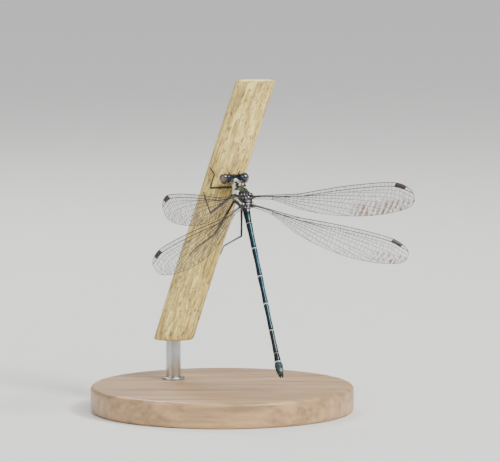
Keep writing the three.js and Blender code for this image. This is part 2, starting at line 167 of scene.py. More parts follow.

# Long veins, as their radii at the root and at the end, then points as (share of the length, share of the
# chord).
LONG_VEINS = (
    (0.05, 0.035, ((0, 0.28), (0.12, 0.26), (0.22, 0.16), (0.305, 0.02))),
    (
        0.075,
        0.06,
        (
            *((0, 0.4), (0.12, 0.42), (0.2, 0.25), (0.3, 0.17), (0.45, 0.14), (0.6, 0.125)),
            *((0.75, 0.12), (0.85, 0.13), (0.93, 0.17), (0.965, 0.15), (0.985, 0.03)),
        ),
    ),
    (
        0.045,
        0.03,
        ((0.3, 0.18), (0.42, 0.21), (0.55, 0.215), (0.7, 0.22), (0.85, 0.25), (0.93, 0.31), (0.985, 0.4)),
    ),
    (0.03, 0.025, ((0.57, 0.217), (0.66, 0.265), (0.75, 0.31), (0.88, 0.4), (0.975, 0.62))),
    (
        0.045,
        0.03,
        ((0.33, 0.19), (0.4, 0.235), (0.5, 0.3), (0.65, 0.37), (0.8, 0.47), (0.9, 0.62), (0.96, 0.97)),
    ),
    (
        0.04,
        0.025,
        ((0.26, 0.195), (0.32, 0.27), (0.4, 0.35), (0.55, 0.44), (0.7, 0.54), (0.83, 0.7), (0.925, 0.99)),
    ),
    (
        0.05,
        0.03,
        ((0.17, 0.31), (0.23, 0.32), (0.3, 0.38), (0.45, 0.5), (0.6, 0.61), (0.74, 0.74), (0.865, 1)),
    ),
    (0.05, 0.03, ((0.125, 0.44), (0.3, 0.54), (0.45, 0.66), (0.6, 0.79), (0.76, 1))),
    (0.05, 0.03, ((0.125, 0.62), (0.3, 0.7), (0.45, 0.84), (0.61, 1))),
    (0.045, 0.03, ((0.125, 0.8), (0.27, 0.86), (0.42, 1))),
)
STRONG_VEIN = 1  # the row of the vein behind the dark cell

# The net of cross veins. Its rows start and end at shares of the length, and two longer ones stand nearer
# the root. A cell narrower than the least width gets no cross vein, and one wider than the split width gets
# a vein along its middle.
ROOT_ROWS = (0.125, 0.205)
NET_START, NET_END = 0.235, 0.975
FRONT_ROW_START = 0.3
CELL_LEAST_WIDTH, CELL_SPLIT_WIDTH = 0.12, 0.98
EDGE_INSET = 0.005
ROOT_ROW_RADIUS, CROSS_RADIUS, TIP_RADIUS = 0.035, 0.029, 0.035
SPLIT_CROSS_RADIUS, SPLIT_RADIUS = 0.026, 0.025  # in cells that a vein splits, and of that vein

# Legs: hip and knee are places in the insect's frame. Ankle and toe are on the stem, as (height, angle round
# it from the viewer).
LEGS = {
    "left_fore": ((-0.6, 2.7, -1.95), (-4.06, 3.18, -3.57), (40.75, -33), (41.75, -57)),
    "left_mid": ((-0.65, 1.25, -2.2), (-4.25, -1.0, -5.01), (36.5, -37), (37.5, -51)),
    "left_hind": ((-0.65, 0, -2.0), (-3.86, -4.76, -5.84), (28.25, -13), (26.75, -31)),
    "right_fore": ((0.6, 2.7, -1.95), (3.0, 3.5, -3.6), (39.6, 118), (40.2, 143)),
    "right_mid": ((0.65, 1.25, -2.2), (4.7, 1.69, -4.81), (36.8, 122), (37.4, 146)),
    "right_hind": ((0.65, 0, -2.0), (0.82, -5.53, -4.79), (28, 84), (26.6, 100)),
}

# Radii along a thigh and a shin as (share of the length, radius), those along each length of a foot, the
# claw's hook as (aside, ahead) places, and the angles of the rows of bristles round a leg.
THIGH_RADII = ((0, 0.16), (0.08, 0.185), (0.3, 0.2), (0.75, 0.165), (0.94, 0.175), (1, 0.11))
SHIN_RADII = ((0, 0.12), (0.06, 0.145), (0.2, 0.12), (0.8, 0.105), (0.95, 0.12), (1, 0.08))
FOOT_RADII = np.array((0.07, 0.1, 0.095, 0.11, 0.06))
CLAW_HOOK = ((0.02, -0.02), (0.1, 0.1), (0.12, 0.2), (0.1, 0.27))
BRISTLE_ANGLES = (25, 155, 205, 335)
THIGH_ROW_RADIUS, SHIN_ROW_RADIUS = 0.17, 0.105  # how far out the rows stand
BRISTLE_LEAN, HAIR_LEAN = 0.6, 0.35  # how much they lean along the leg and to the tail
BRISTLE_RADIUS, HAIR_RADIUS = 0.022, 0.007

# Feelers, as (reach, bend) places, and their radii at shares of the length.
FEELER_BENDS = ((0, 0), (0.3, 0), (0.6, 0.2), (1.2, 0.7), (2.2, 2.0))
FEELER_SHARES = (0, 0.1, 0.14, 0.22, 0.26, 0.6, 1)
FEELER_RADII = (0.12, 0.13, 0.09, 0.09, 0.035, 0.022, 0.01)

# Stem and stand.
STEM_FOOT, STEM_TOP, STEM_MIDDLE = 11.6, 57.0, 34.0
STEM_X, STEM_Y = -1.56, 9.7  # its centre at the middle height
STEM_SLOPE_X, STEM_SLOPE_Y, STEM_BEND = 0.321, 0.105, 0.0002
STEM_ACROSS, STEM_ALONG = 3.55, 2.6  # half widths across and along the view
STEM_WRAP = 3.1  # the radius that its pattern is wrapped round
BASE_RADIUS, BASE_HEIGHT, BASE_BEVEL = 23.0, 4.5, 0.7
ROD_RADIUS, ROD_BEVEL = 1.3, 0.12
COLLAR_RADIUS, COLLAR_BEVEL = 2.0, 0.2
FLOOR_RADIUS = 6000.0

# Camera: how high it looks from, how far off it stands, the picture's scale and size, and the place in the
# picture that the insect's origin takes.
VIEW_HEIGHT_ANGLE = math.radians(6)
VIEW_DISTANCE = 800.0
PIXELS_PER_MM = 5.72
PICTURE_WIDTH, PICTURE_HEIGHT = 500, 462
BODY_PIXEL_X, BODY_PIXEL_Y = 243.4, 196.8
SENSOR_WIDTH = 36

# Lamps as (name, place in metres, size in metres, share of the main lamp's strength), the place in
# millimetres that they point at, the soft sky lamp, and the light all round.
LAMPS = (
    ("key", (0.36, -0.26, 0.42), 0.14, 1.0),
    ("fill", (-0.42, -0.3, 0.24), 0.3, 0.3),
    ("back", (-0.1, 0.34, 0.38), 0.2, 0.4),
)
LAMP_FOCUS = Vector((5.0, 4.0, 31.0))
SKY_ANGLE, SKY_STRENGTH = math.radians(40), 2.1
SKY_TURN = (math.radians(35), math.radians(25), 0)
AIR_COLOUR, AIR_STRENGTH = (0.9, 0.95, 1, 1), 0.36

# How finely the larger pieces are divided.
STEM_ROWS, STEM_SIDES = 150, 180
MEMBRANE_ROWS, MEMBRANE_COLUMNS = 130, 41
EDGE_VEIN_POINTS = 110
ABDOMEN_SIDES = 40

# Seeds of the random draws.
HAIR_SEED = 31
HAIR_SIZE_SEED, BRISTLE_SIZE_SEED = 9, 4
STEM_SEED = 7
VEIN_SEEDS = {"fore": 11, "hind": 23}

# Colours.
METAL = (0.012, 0.055, 0.075)
# A painted coppery reflection for the wings' rear cells, not the membrane's own colour.
PAINTED_COPPER_REFLECTION = (0.3, 0.12, 0.045)
BACK_BROWN = (0.045, 0.026, 0.02)
LIP_YELLOW = (0.25, 0.21, 0.12)
TAIL_BLUE_GREY = (0.05, 0.085, 0.09)
ABDOMEN_GREEN = np.array((0.015, 0.05, 0.043))
ABDOMEN_BLUE = np.array((0.01, 0.034, 0.046))
ABDOMEN_GREY = np.array((0.022, 0.031, 0.029))


# Settings.


def colour_setting(name, description, default):
    return FloatVectorProperty(name=name, description=description, subtype="COLOR", size=3, default=default)


def number_setting(name, description, default, least):
    return FloatProperty(name=name, description=description, default=default, min=least)


class BodySettings(bpy.types.PropertyGroup):
    skin_grain: number_setting("Skin grain", "Size of the skin's smallest faces, mm", 0.036, 0.03)
    metal: colour_setting("Metal", "Blue-green of the abdomen and head", METAL)
    dark: colour_setting("Dark", "Near black of the flanks", (0.006, 0.009, 0.012))
    bronze: colour_setting("Bronze", "Olive bronze of the upper thorax", (0.1, 0.112, 0.072))
    powder: colour_setting("Powder", "Powdery white of the stripes and rings", (0.8, 0.77, 0.67))
    pale: colour_setting("Pale stripe", "Grey-green of the second stripe", (0.33, 0.38, 0.31))
    eye_side: colour_setting("Eye side", "Brown of the eyes' outer faces", (0.15, 0.088, 0.052))
    eye_top: colour_setting("Eye top", "Blue-black of the eyes' upper faces", (0.008, 0.013, 0.022))
    hairs: IntProperty(name="Hairs", description="Fine hairs on the head and thorax", default=1500, min=1)
    hair_length: number_setting("Hair length", "Longest hair, mm", 0.26, 0.05)


class WingSettings(bpy.types.PropertyGroup):
    cell: number_setting("Cell length", "Mean distance between cross veins, mm", 0.66, 0.3)
    vein_scale: number_setting("Vein scale", "Scale of every vein's thickness", 1.0, 0.3)
    membrane_half: number_setting("Membrane", "Half the membrane's thickness, mm", 0.012, 0.005)
    membrane: colour_setting("Membrane colour", "Faint smoky tint", (0.3, 0.28, 0.24))
    vein: colour_setting("Vein colour", "Brown-black", (0.016, 0.011, 0.008))
    stigma: colour_setting("Stigma colour", "Dark cell near the tip", (0.03, 0.022, 0.018))


class LegSettings(bpy.types.PropertyGroup):
    colour: colour_setting("Colour", "Satin black", (0.009, 0.007, 0.006))
    bristle: number_setting("Bristle length", "Longest bristle, mm", 0.5, 0.1)
    spacing: number_setting("Bristle spacing", "Between bristles along a row, mm", 0.36, 0.1)


class StandSettings(bpy.types.PropertyGroup):
    stem: colour_setting("Stem", "Dry straw", (0.98, 0.73, 0.26))
    fibres: IntProperty(name="Fibres", description="Raised strands along the stem", default=90, min=0)
    wood: colour_setting("Wood", "Light satin wood", (0.44, 0.27, 0.13))
    steel: colour_setting("Steel", "Brushed steel", (0.58, 0.58, 0.57))


class StageSettings(bpy.types.PropertyGroup):
    floor: colour_setting("Floor", "Plain pale floor", (0.8, 0.79, 0.76))
    light: number_setting("Light", "Strength of the main lamp, W", 3.3, 0.1)


# Shapes, as (points, faces) pairs in millimetres.


def smoothed(table, shares):
    """Smooth values between the rows of a table whose first column is the position, up or down."""
    table = np.asarray(table, float)
    if table[0, 0] > table[-1, 0]:
        table = table[::-1]
    x, y = table[:, 0], table[:, 1:]
    steps = np.diff(x)[:, None]
    slopes = np.diff(y, axis=0) / steps
    tangents = np.vstack([slopes[:1], np.zeros_like(slopes[1:]), slopes[-1:]])
    inner = slopes[:-1] * slopes[1:] > 0
    mean = (slopes[:-1] * steps[1:] + slopes[1:] * steps[:-1]) / (steps[1:] + steps[:-1])
    limit = 2.5 * np.minimum(abs(slopes[:-1]), abs(slopes[1:]))
    tangents[1:-1] = np.where(inner, np.clip(mean, -limit, limit), 0)
    shares = np.atleast_1d(np.asarray(shares, float))
    i = np.clip(np.searchsorted(x, shares) - 1, 0, len(x) - 2)
    h = (x[i + 1] - x[i])[:, None]
    t = np.clip((shares - x[i])[:, None] / h, 0, 1)
    a, b = y[i], y[i + 1]
    return (
        a * (2 * t**3 - 3 * t**2 + 1)
        + b * (3 * t**2 - 2 * t**3)
        + tangents[i] * h * (t**3 - 2 * t**2 + t)
        + tangents[i + 1] * h * (t**3 - t**2)
    )


def rise(low, high, value):
    """0 at low and past it, 1 at high and past it, and eased between. Low may be the larger of the two."""
    t = np.clip((value - low) / (high - low), 0, 1)
    return t * t * (3 - 2 * t)


def unit(vector):
    return vector / np.linalg.norm(vector)


def circle(sides, way=1):
    """Points round a unit circle in the XY plane, anticlockwise or, with a way of -1, clockwise."""
    turn = way * np.arange(sides) * 2 * math.pi / sides
    return np.column_stack([np.cos(turn), np.sin(turn), np.zeros(sides)])


def shaded(colour, *factors):
    """A colour times one factor, or times one for each channel, and never above 1."""
    return [min(1, c * f) for c, f in zip(colour, factors if len(factors) == 3 else factors * 3)]


def join(shapes):
    points, faces, start = [], [], 0
    for more_points, more_faces in shapes:
        points.append(np.asarray(more_points, float))
        faces.extend(tuple(i + start for i in face) for face in more_faces)
        start += len(more_points)
    return np.vstack(points), faces


def loft(rings):
    """A closed surface through rings that turn anticlockwise as seen from the last one."""
    rings = np.asarray(rings, float)
    count, sides = rings.shape[:2]
    faces = []
    for r in range(count - 1):
        for s in range(sides):
            n = (s + 1) % sides
            faces.append((r * sides + s, r * sides + n, (r + 1) * sides + n, (r + 1) * sides + s))
    points = np.vstack([rings.reshape(-1, 3), rings[0].mean(0), rings[-1].mean(0)])
    first, last = len(points) - 2, len(points) - 1
    for s in range(sides):
        n = (s + 1) % sides
        faces.append((n, s, first))
        faces.append(((count - 1) * sides + s, (count - 1) * sides + n, last))
    return points, faces


def tube(path, radii, sides=12):
    """A round tube along points, with one radius or a radius at each."""
    path = np.asarray(path, float)
    radii = np.broadcast_to(np.asarray(radii, float), (len(path),))
    c, s, _ = circle(sides).T
    rings, across = [], None
    for i, point in enumerate(path):
        along = unit(path[min(i + 1, len(path) - 1)] - path[max(i - 1, 0)])
        if across is None:
            other = np.array((0, 0, 1.0)) if abs(along[2]) < 0.9 else np.array((1.0, 0, 0))
            across = np.cross(other, along)
        across = unit(across - along * across.dot(along))
        up = np.cross(along, across)
        rings.append(point + radii[i] * (np.outer(c, across) + np.outer(s, up)))
    return loft(rings)


def curve_through(points, count):
    """Evenly shared points on a smooth curve through the given ones."""
    points = np.asarray(points, float)
    along = np.concatenate([[0], np.cumsum(np.linalg.norm(np.diff(points, axis=0), axis=1))])
    return smoothed(np.column_stack([along, points]), np.linspace(0, along[-1], count))


def ellipsoid(centre, radii, columns=32, rows=20):
    falls = math.pi * np.arange(1, rows) / rows
    points, faces = loft([circle(columns) * math.sin(a) - (0, 0, math.cos(a)) for a in falls])
    points[-2:] = ((0, 0, -1), (0, 0, 1))
    return points * radii + np.asarray(centre, float), faces


def ovals(stations, count, sides, power=2.0):
    """A loft along -Y through (y, low, high, half width) stations."""
    ys = np.linspace(stations[0][0], stations[-1][0], count)
    low, high, wide = smoothed(stations, ys).T
    c, s, _ = circle(sides, -1).T
    c = np.sign(c) * abs(c) ** (2 / power)
    s = np.sign(s) * abs(s) ** (2 / power)
    rings = [
        np.column_stack([w * s, np.full(sides, y), (lo + hi) / 2 + (hi - lo) / 2 * c])
        for y, lo, hi, w in zip(ys, low, high, wide)
    ]
    return loft(rings)


def moved(shape, matrix):
    points, faces = shape
    m = np.array(matrix)
    return points @ m[:3, :3].T + m[:3, 3], faces


def mirrored(shape):
    points, faces = shape
    return points * (-1, 1, 1), [tuple(reversed(face)) for face in faces]


def both_sides(shape):
    return [shape, mirrored(shape)]


# Meshes and pieces.


def new_mesh(name, shape, pose=Matrix.Identity(4), scale=MM):
    points, faces = moved(shape, pose)
    mesh = bpy.data.meshes.new(name)
    mesh.from_pydata((points * scale).tolist(), [], faces)
    mesh.update()
    return mesh


def added_object(name, data):
    item = bpy.data.objects.new(name, data)
    bpy.context.scene.collection.objects.link(item)
    return item


def new_piece(name, mesh, materials):
    mesh.name = name
    for material in materials:
        mesh.materials.append(material)
    mesh.polygons.foreach_set("use_smooth", np.ones(len(mesh.polygons), bool))
    return added_object(name, mesh)


def evaluated(piece):
    graph = bpy.context.evaluated_depsgraph_get()
    return bpy.data.meshes.new_from_object(piece.evaluated_get(graph), depsgraph=graph)


def add_piece(name, mesh, materials, slot, *nodes):
    """Makes one piece of the model, which stands for the given nodes."""
    piece = new_piece(name, mesh, materials)
    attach(piece, "root")
    if nodes:
        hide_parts(*nodes)


def points_of(mesh):
    co = np.empty(len(mesh.vertices) * 3)
    mesh.vertices.foreach_get("co", co)
    return co.reshape(-1, 3)


def set_points(mesh, points):
    mesh.vertices.foreach_set("co", np.asarray(points, float).ravel())
    mesh.update()


def normals_of(mesh):
    normals = np.empty(len(mesh.vertices) * 3)
    mesh.vertex_normals.foreach_get("vector", normals)
    return normals.reshape(-1, 3)


def put_attribute(mesh, name, kind, values):
    attribute = mesh.attributes.new(name, kind, "POINT")
    field = {"FLOAT": "value", "FLOAT_VECTOR": "vector", "FLOAT_COLOR": "color"}[kind]
    attribute.data.foreach_set(field, np.asarray(values, float).ravel())


def remeshed(shape, grain):
    """One even skin round overlapping closed shapes, in millimetres."""
    holder = added_object("skin_draft", new_mesh("skin_draft", shape, scale=1))
    remesh = holder.modifiers.new("skin", "REMESH")
    remesh.mode = "VOXEL"
    remesh.voxel_size = grain
    mesh = evaluated(holder)
    bpy.data.objects.remove(holder)
    return mesh


def relax(mesh, rounds):
    """Moves each point towards the mean of its neighbours."""
    edges = np.empty(len(mesh.edges) * 2, int)
    mesh.edges.foreach_get("vertices", edges)
    a, b = edges.reshape(-1, 2).T
    points = points_of(mesh)
    count = np.bincount(a, minlength=len(points)) + np.bincount(b, minlength=len(points))
    for _ in range(rounds):
        total = np.zeros_like(points)
        for axis in range(3):
            total[:, axis] = np.bincount(a, points[b, axis], len(points))
            total[:, axis] += np.bincount(b, points[a, axis], len(points))
        points += (total / np.maximum(count, 1)[:, None] - points) * 0.5
    set_points(mesh, points)


def surf_noise(points, scale, seed=0):
    """A cheap smooth noise from -1 to 1 at the points."""
    rng = np.random.default_rng(seed)
    total = np.zeros(len(points))
    for _ in range(7):
        direction = unit(rng.normal(size=3))
        total += np.sin(points @ direction * scale * rng.uniform(0.7, 1.6) + rng.uniform(0, 6.28))
    return total / 4


# Materials.


class Shader:
    """A material's node tree, with short calls for the nodes it uses."""

    def __init__(self, name):
        self.material = bpy.data.materials.new(name)
        self.material.use_nodes = True
        self.tree = self.material.node_tree
        self.main = self.tree.nodes["Principled BSDF"]

    def node(self, kind, inputs=(), **settings):
        made = self.tree.nodes.new(kind)
        for key, value in settings.items():
            setattr(made, key, value)
        for key, value in dict(inputs).items():
            self.put(made, key, value)
        return made

    def put(self, node, key, value):
        socket = node.inputs[key]
        if isinstance(value, bpy.types.NodeSocket):
            self.tree.links.new(value, socket)
        elif hasattr(socket.default_value, "__len__") and len(value) == 3 and len(socket.default_value) == 4:
            socket.default_value = (*value, 1)
        else:
            socket.default_value = value

    def set(self, **values):
        for key, value in values.items():
            self.put(self.main, key.replace("_", " "), value)
        return self

    def object_place(self):
        return self.node("ShaderNodeTexCoord").outputs["Object"]

    def attribute(self, name, output="Fac"):
        return self.node("ShaderNodeAttribute", attribute_name=name).outputs[output]

    def stretched(self, place, scale):
        return self.node("ShaderNodeMapping", {"Vector": place, "Scale": scale}).outputs[0]

    def noise(self, place, scale, detail=3, rough=0.6):
        inputs = {"Vector": place, "Scale": scale, "Detail": detail, "Roughness": rough}
        return self.node("ShaderNodeTexNoise", inputs).outputs["Fac"]

    def streaks(self, place, scale, detail=3, rough=0.6):
        return self.noise(self.stretched(place, scale), 1.0, detail, rough)

    def voronoi(self, place, scale, output="Distance"):
        return self.node("ShaderNodeTexVoronoi", {"Vector": place, "Scale": scale}).outputs[output]

    def span(self, value, low, high, to_low=0.0, to_high=1.0):
        inputs = {"Value": value, "From Min": low, "From Max": high, "To Min": to_low, "To Max": to_high}
        return self.node("ShaderNodeMapRange", inputs).outputs[0]

    def math(self, operation, a, b=0.0):
        return self.node("ShaderNodeMath", {0: a, 1: b}, operation=operation).outputs[0]

    def mix(self, share, a, b, blend="MIX"):
        made = self.node("ShaderNodeMix", data_type="RGBA", blend_type=blend)
        for index, value in ((0, share), (6, a), (7, b)):
            self.put(made, index, value)
        return made.outputs[2]

    def darkened(self, colour, share):
        grey = self.node("ShaderNodeCombineColor", {0: share, 1: share, 2: share}).outputs[0]
        return self.mix(1.0, colour, grey, "MULTIPLY")

    def bump(self, height, strength, distance=0.00003):
        inputs = {"Height": height, "Strength": strength, "Distance": distance}
        return self.node("ShaderNodeBump", inputs).outputs[0]


def chitin_material(name, base_rough=0.2, gloss=0.35):
    """Hard skin whose colour, shine and powder come from the mesh."""
    s = Shader(name)
    place = s.object_place()
    powder = s.attribute("powder")
    fine = s.noise(place, 9000, 4)
    broad = s.noise(place, 1400, 3)
    tint = s.attribute("tint", "Color")
    shade = s.span(broad, 0.3, 0.7, 0.72, 1.25)
    colour = s.darkened(tint, shade)
    grain = s.span(fine, 0.35, 0.65, 0.0, 1.0)
    rough = s.math("ADD", s.span(powder, 0, 1, base_rough, 0.8), s.span(fine, 0.3, 0.7, -0.05, 0.08))
    pits = s.voronoi(place, 16000)
    height = s.math("ADD", s.math("MULTIPLY", pits, 0.6), grain)
    s.set(Base_Color=colour, Metallic=s.attribute("metal"), Roughness=rough)
    s.set(Normal=s.bump(height, 0.35, 0.000012), IOR=1.5, Specular_IOR_Level=gloss)
    s.set(Coat_Weight=0.05, Coat_Roughness=0.12)
    return s.material


def eye_material(name, side, top):
    s = Shader(name)
    place = s.object_place()
    facets = s.voronoi(place, 26000)
    share = s.attribute("top")
    blotch = s.noise(place, 2600, 3)
    share = s.math("ADD", share, s.span(blotch, 0.3, 0.7, -0.12, 0.12))
    lower = s.mix(s.attribute("low"), side, [0.6 * c + 0.07 for c in side])
    mottled = s.mix(s.span(s.noise(place, 5200, 3), 0.42, 0.6), lower, shaded(side, 0.55))
    colour = s.mix(s.span(share, 0.25, 0.75), mottled, top)
    dots = s.span(facets, 0.0, 0.6, 1.0, 0.7)
    s.set(Base_Color=s.darkened(colour, dots), Roughness=s.span(blotch, 0.2, 0.8, 0.14, 0.24))
    s.set(Normal=s.bump(facets, 0.25, 0.000012))
    s.set(IOR=1.6, Coat_Weight=0.8, Coat_Roughness=0.06)
    return s.material


def plain_chitin_material(name, colour, second, rough, fine_scale=7000, shine=0.3):
    s = Shader(name)
    place = s.object_place()
    noise = s.noise(place, fine_scale, 4)
    broad = s.noise(place, 900, 2)
    s.set(
        Base_Color=s.mix(s.span(broad, 0.35, 0.65), colour, second),
        Roughness=s.span(noise, 0.3, 0.7, rough - 0.06, rough + 0.1),
        Normal=s.bump(noise, 0.3, 0.00001),
        IOR=1.5,
        Specular_IOR_Level=shine,
    )
    return s.material


def membrane_material(name, colour):
    """Clear skin: nearly see-through, with glints that differ by cell, and coppery bars at the rear that are
    a painted reflection and make the membrane less clear where they lie.
    """
    s = Shader(name)
    across = s.attribute("wing_place", "Vector")
    patchwork = s.voronoi(s.stretched(across, (1.9, 0.75, 1)), 1.0, "Color")
    cells = s.node("ShaderNodeSeparateColor", {0: patchwork}).outputs
    ripple = s.noise(across, 3.0, 2)
    height = s.math("ADD", cells[0], ripple)
    along = s.node("ShaderNodeSeparateXYZ", {0: across}).outputs
    lean = s.math("ADD", s.math("MULTIPLY", along[1], -0.35), s.math("MULTIPLY", ripple, 0.5))
    phase = s.math("ADD", along[0], lean)
    # Painted reflection: coppery bars across the rear cells, as if light glinted off them.
    bars = s.span(s.math("SINE", s.math("MULTIPLY", phase, 2 * math.pi / REFLECTION_BAR_SPACING)), -0.35, 0.25)
    broken = s.span(s.noise(across, 0.45, 2), 0.34, 0.46)
    patches = s.math("MULTIPLY", s.span(cells[1], 0.05, 0.45, 0.35, 1.0), broken)
    painted_reflection = s.math("MULTIPLY", s.math("MULTIPLY", patches, bars), s.attribute("rear"))
    s.set(
        Base_Color=s.mix(painted_reflection, colour, PAINTED_COPPER_REFLECTION),
        Roughness=s.span(ripple, 0.3, 0.7, 0.1, 0.22),
        Alpha=s.span(painted_reflection, 0, 1, 0.08, 0.62),
        Normal=s.bump(height, 0.6, 0.0001),
        IOR=1.6,
        Coat_Weight=0.5,
        Coat_Roughness=0.08,
    )
    return s.material


def stem_material(name, colour):
    s = Shader(name)
    around = s.attribute("stem_place", "Vector")
    fibres = s.streaks(around, (3.2, 0.07, 3.2), 5, 0.7)
    fine = s.streaks(around, (11.0, 0.55, 11.0), 4, 0.75)
    stain = s.streaks(around, (0.5, 0.16, 0.5), 4)
    specks = s.streaks(around, (4.6, 1.3, 4.6), 3, 0.8)
    speckled = s.span(s.streaks(around, (0.34, 0.13, 0.34), 2), 0.42, 0.6)
    dashes = s.streaks(around, (8.5, 1.1, 8.5), 2, 0.6)
    blots = s.streaks(around, (1.7, 0.2, 1.7), 3, 0.7)
    flecks = s.streaks(around, (2.6, 0.75, 2.6), 3, 0.75)
    base = s.mix(s.span(fibres, 0.38, 0.62), shaded(colour, 0.76, 0.66, 0.5), shaded(colour, 1.1, 1.16, 0.9))
    layers = (
        (stain, (0.5, 0.75, 0.0, 0.5), shaded(colour, 0.86, 0.8, 0.7)),
        (fine, (0.36, 0.48, 0.7, 0.0), shaded(colour, 0.5, 0.42, 0.3)),
        (blots, (0.46, 0.58, 0.0, 0.75), (0.38, 0.26, 0.1)),
        (blots, (0.45, 0.35, 0.0, 0.8), (1.0, 0.86, 0.4)),
        (flecks, (0.55, 0.62, 0.0, 0.85), (0.16, 0.115, 0.06)),
        (dashes, (0.6, 0.68, 0.0, 0.7), (0.26, 0.2, 0.13)),
    )
    for mask, limits, tone in layers:
        base = s.mix(s.span(mask, *limits), base, tone)
    spotted = s.math("MULTIPLY", s.span(specks, 0.55, 0.64), s.span(speckled, 0, 1, 0.25, 0.9))
    base = s.mix(spotted, base, (0.14, 0.11, 0.08))
    height = s.math("ADD", fibres, s.math("MULTIPLY", fine, 0.7))
    s.set(Base_Color=base, Roughness=s.span(fine, 0.3, 0.7, 0.7, 0.92), Normal=s.bump(height, 0.8, 0.00012))
    return s.material


def pith_material(name, colour):
    s = Shader(name)
    place = s.object_place()
    pores = s.voronoi(place, 3500)
    tone = s.noise(place, 900, 4)
    base = s.mix(s.span(pores, 0.1, 0.55), shaded(colour, 0.4), shaded(colour, 1.35))
    base = s.mix(s.span(tone, 0.4, 0.7, 0, 0.5), base, colour)
    s.set(Base_Color=base, Roughness=s.span(tone, 0.3, 0.7, 0.75, 0.95), Normal=s.bump(pores, 0.7, 0.0001))
    return s.material


def wood_material(name, colour):
    s = Shader(name)
    place = s.object_place()
    board = s.stretched(place, (36, 520, 520))
    warp = s.noise(place, 45, 2)
    aside = s.node("ShaderNodeCombineXYZ", {1: s.math("MULTIPLY", warp, 2.0)}).outputs[0]
    swirl = s.node("ShaderNodeVectorMath", {0: board, 1: aside}, operation="ADD")
    grain = s.noise(swirl.outputs[0], 1.0, 4, 0.65)
    pores = s.streaks(place, (220, 5200, 5200), 3, 0.7)
    base = s.mix(s.span(grain, 0.36, 0.62), shaded(colour, 0.68), shaded(colour, 1.22))
    base = s.mix(s.span(pores, 0.6, 0.72, 0, 0.5), base, shaded(colour, 0.42))
    s.set(Base_Color=base, Roughness=s.span(grain, 0.3, 0.7, 0.36, 0.5), Normal=s.bump(pores, 0.25, 0.00005))
    s.set(Coat_Weight=0.15, Coat_Roughness=0.3)
    return s.material


def steel_material(name, colour):
    s = Shader(name)
    place = s.object_place()
    lines = s.streaks(place, (4000, 4000, 160), 3, 0.7)
    s.set(
        Base_Color=s.mix(s.span(lines, 0.3, 0.7), shaded(colour, 0.8), colour),
        Metallic=1.0,
        Roughness=s.span(lines, 0.3, 0.7, 0.2, 0.38),
        Normal=s.bump(lines, 0.2, 0.00002),
    )
    return s.material


def floor_material(name, colour):
    s = Shader(name)
    speckle = s.noise(s.object_place(), 120, 3)
    s.set(
        Base_Color=s.mix(s.span(speckle, 0.4, 0.6), shaded(colour, 0.985), colour),
        Roughness=s.span(speckle, 0.3, 0.7, 0.8, 0.88),
    )
    return s.material


# Geometry Nodes trees.


class Tree:
    """A geometry node tree with named inputs, ending in Realize Instances and Set Material."""

    def __init__(self, name, inputs):
        self.tree = bpy.data.node_groups.new(name, "GeometryNodeTree")
        face = self.tree.interface
        face.new_socket("Geometry", in_out="INPUT", socket_type="NodeSocketGeometry")
        for label, kind in inputs.items():
            face.new_socket(label, in_out="INPUT", socket_type=kind)
        face.new_socket("Geometry", in_out="OUTPUT", socket_type="NodeSocketGeometry")
        self.given = self.tree.nodes.new("NodeGroupInput")

    def node(self, kind, inputs=(), **settings):
        made = self.tree.nodes.new(kind)
        for key, value in settings.items():
            setattr(made, key, value)
        for key, value in dict(inputs).items():
            if isinstance(value, bpy.types.NodeSocket):
                self.tree.links.new(value, made.inputs[key])
            else:
                made.inputs[key].default_value = value
        return made

    def stored(self, name, kind="FLOAT"):
        made = self.node("GeometryNodeInputNamedAttribute", {"Name": name}, data_type=kind)
        return next(o for o in made.outputs if o.enabled and o.name == "Attribute")

    def close(self, geometry):
        real = self.node("GeometryNodeRealizeInstances", {"Geometry": geometry})
        inputs = {"Geometry": real.outputs[0], "Material": self.given.outputs["Material"]}
        painted = self.node("GeometryNodeSetMaterial", inputs)
        self.tree.links.new(painted.outputs[0], self.tree.nodes.new("NodeGroupOutput").inputs[0])
        return self.tree


def grown_mesh(name, mesh, tree, values):
    """Runs a tree on a draft mesh and returns the plain mesh that it makes."""
    holder = added_object(name, mesh)
    modifier = holder.modifiers.new(name, "NODES")
    modifier.node_group = tree
    for socket in tree.interface.items_tree:
        if socket.in_out == "INPUT" and socket.name in values:
            modifier[socket.identifier] = values[socket.name]
    made = evaluated(holder)
    holder.modifiers.remove(modifier)
    bpy.data.objects.remove(holder)
    if not made.polygons:
        raise RuntimeError(f"{name} came out empty")
    return made


def strand_tree():
    """Turns lines with a thickness at each point into round strands."""
    kinds = {"Scale": "NodeSocketFloat", "Sides": "NodeSocketInt", "Material": "NodeSocketMaterial"}
    t = Tree("strands", kinds)
    curve = t.node("GeometryNodeMeshToCurve", {"Mesh": t.given.outputs["Geometry"]})
    factors = {0: t.stored("thickness"), 1: t.given.outputs["Scale"]}
    width = t.node("ShaderNodeMath", factors, operation="MULTIPLY")
    sized = t.node("GeometryNodeSetCurveRadius", {"Curve": curve.outputs[0], "Radius": width.outputs[0]})
    ring = t.node("GeometryNodeCurvePrimitiveCircle", {"Resolution": t.given.outputs["Sides"], "Radius": 1.0})
    inputs = {"Curve": sized.outputs[0], "Profile Curve": ring.outputs[0], "Fill Caps": True}
    solid = t.node("GeometryNodeCurveToMesh", inputs)
    t.tree.links.new(width.outputs[0], solid.inputs["Scale"])
    return t.close(solid.outputs[0])


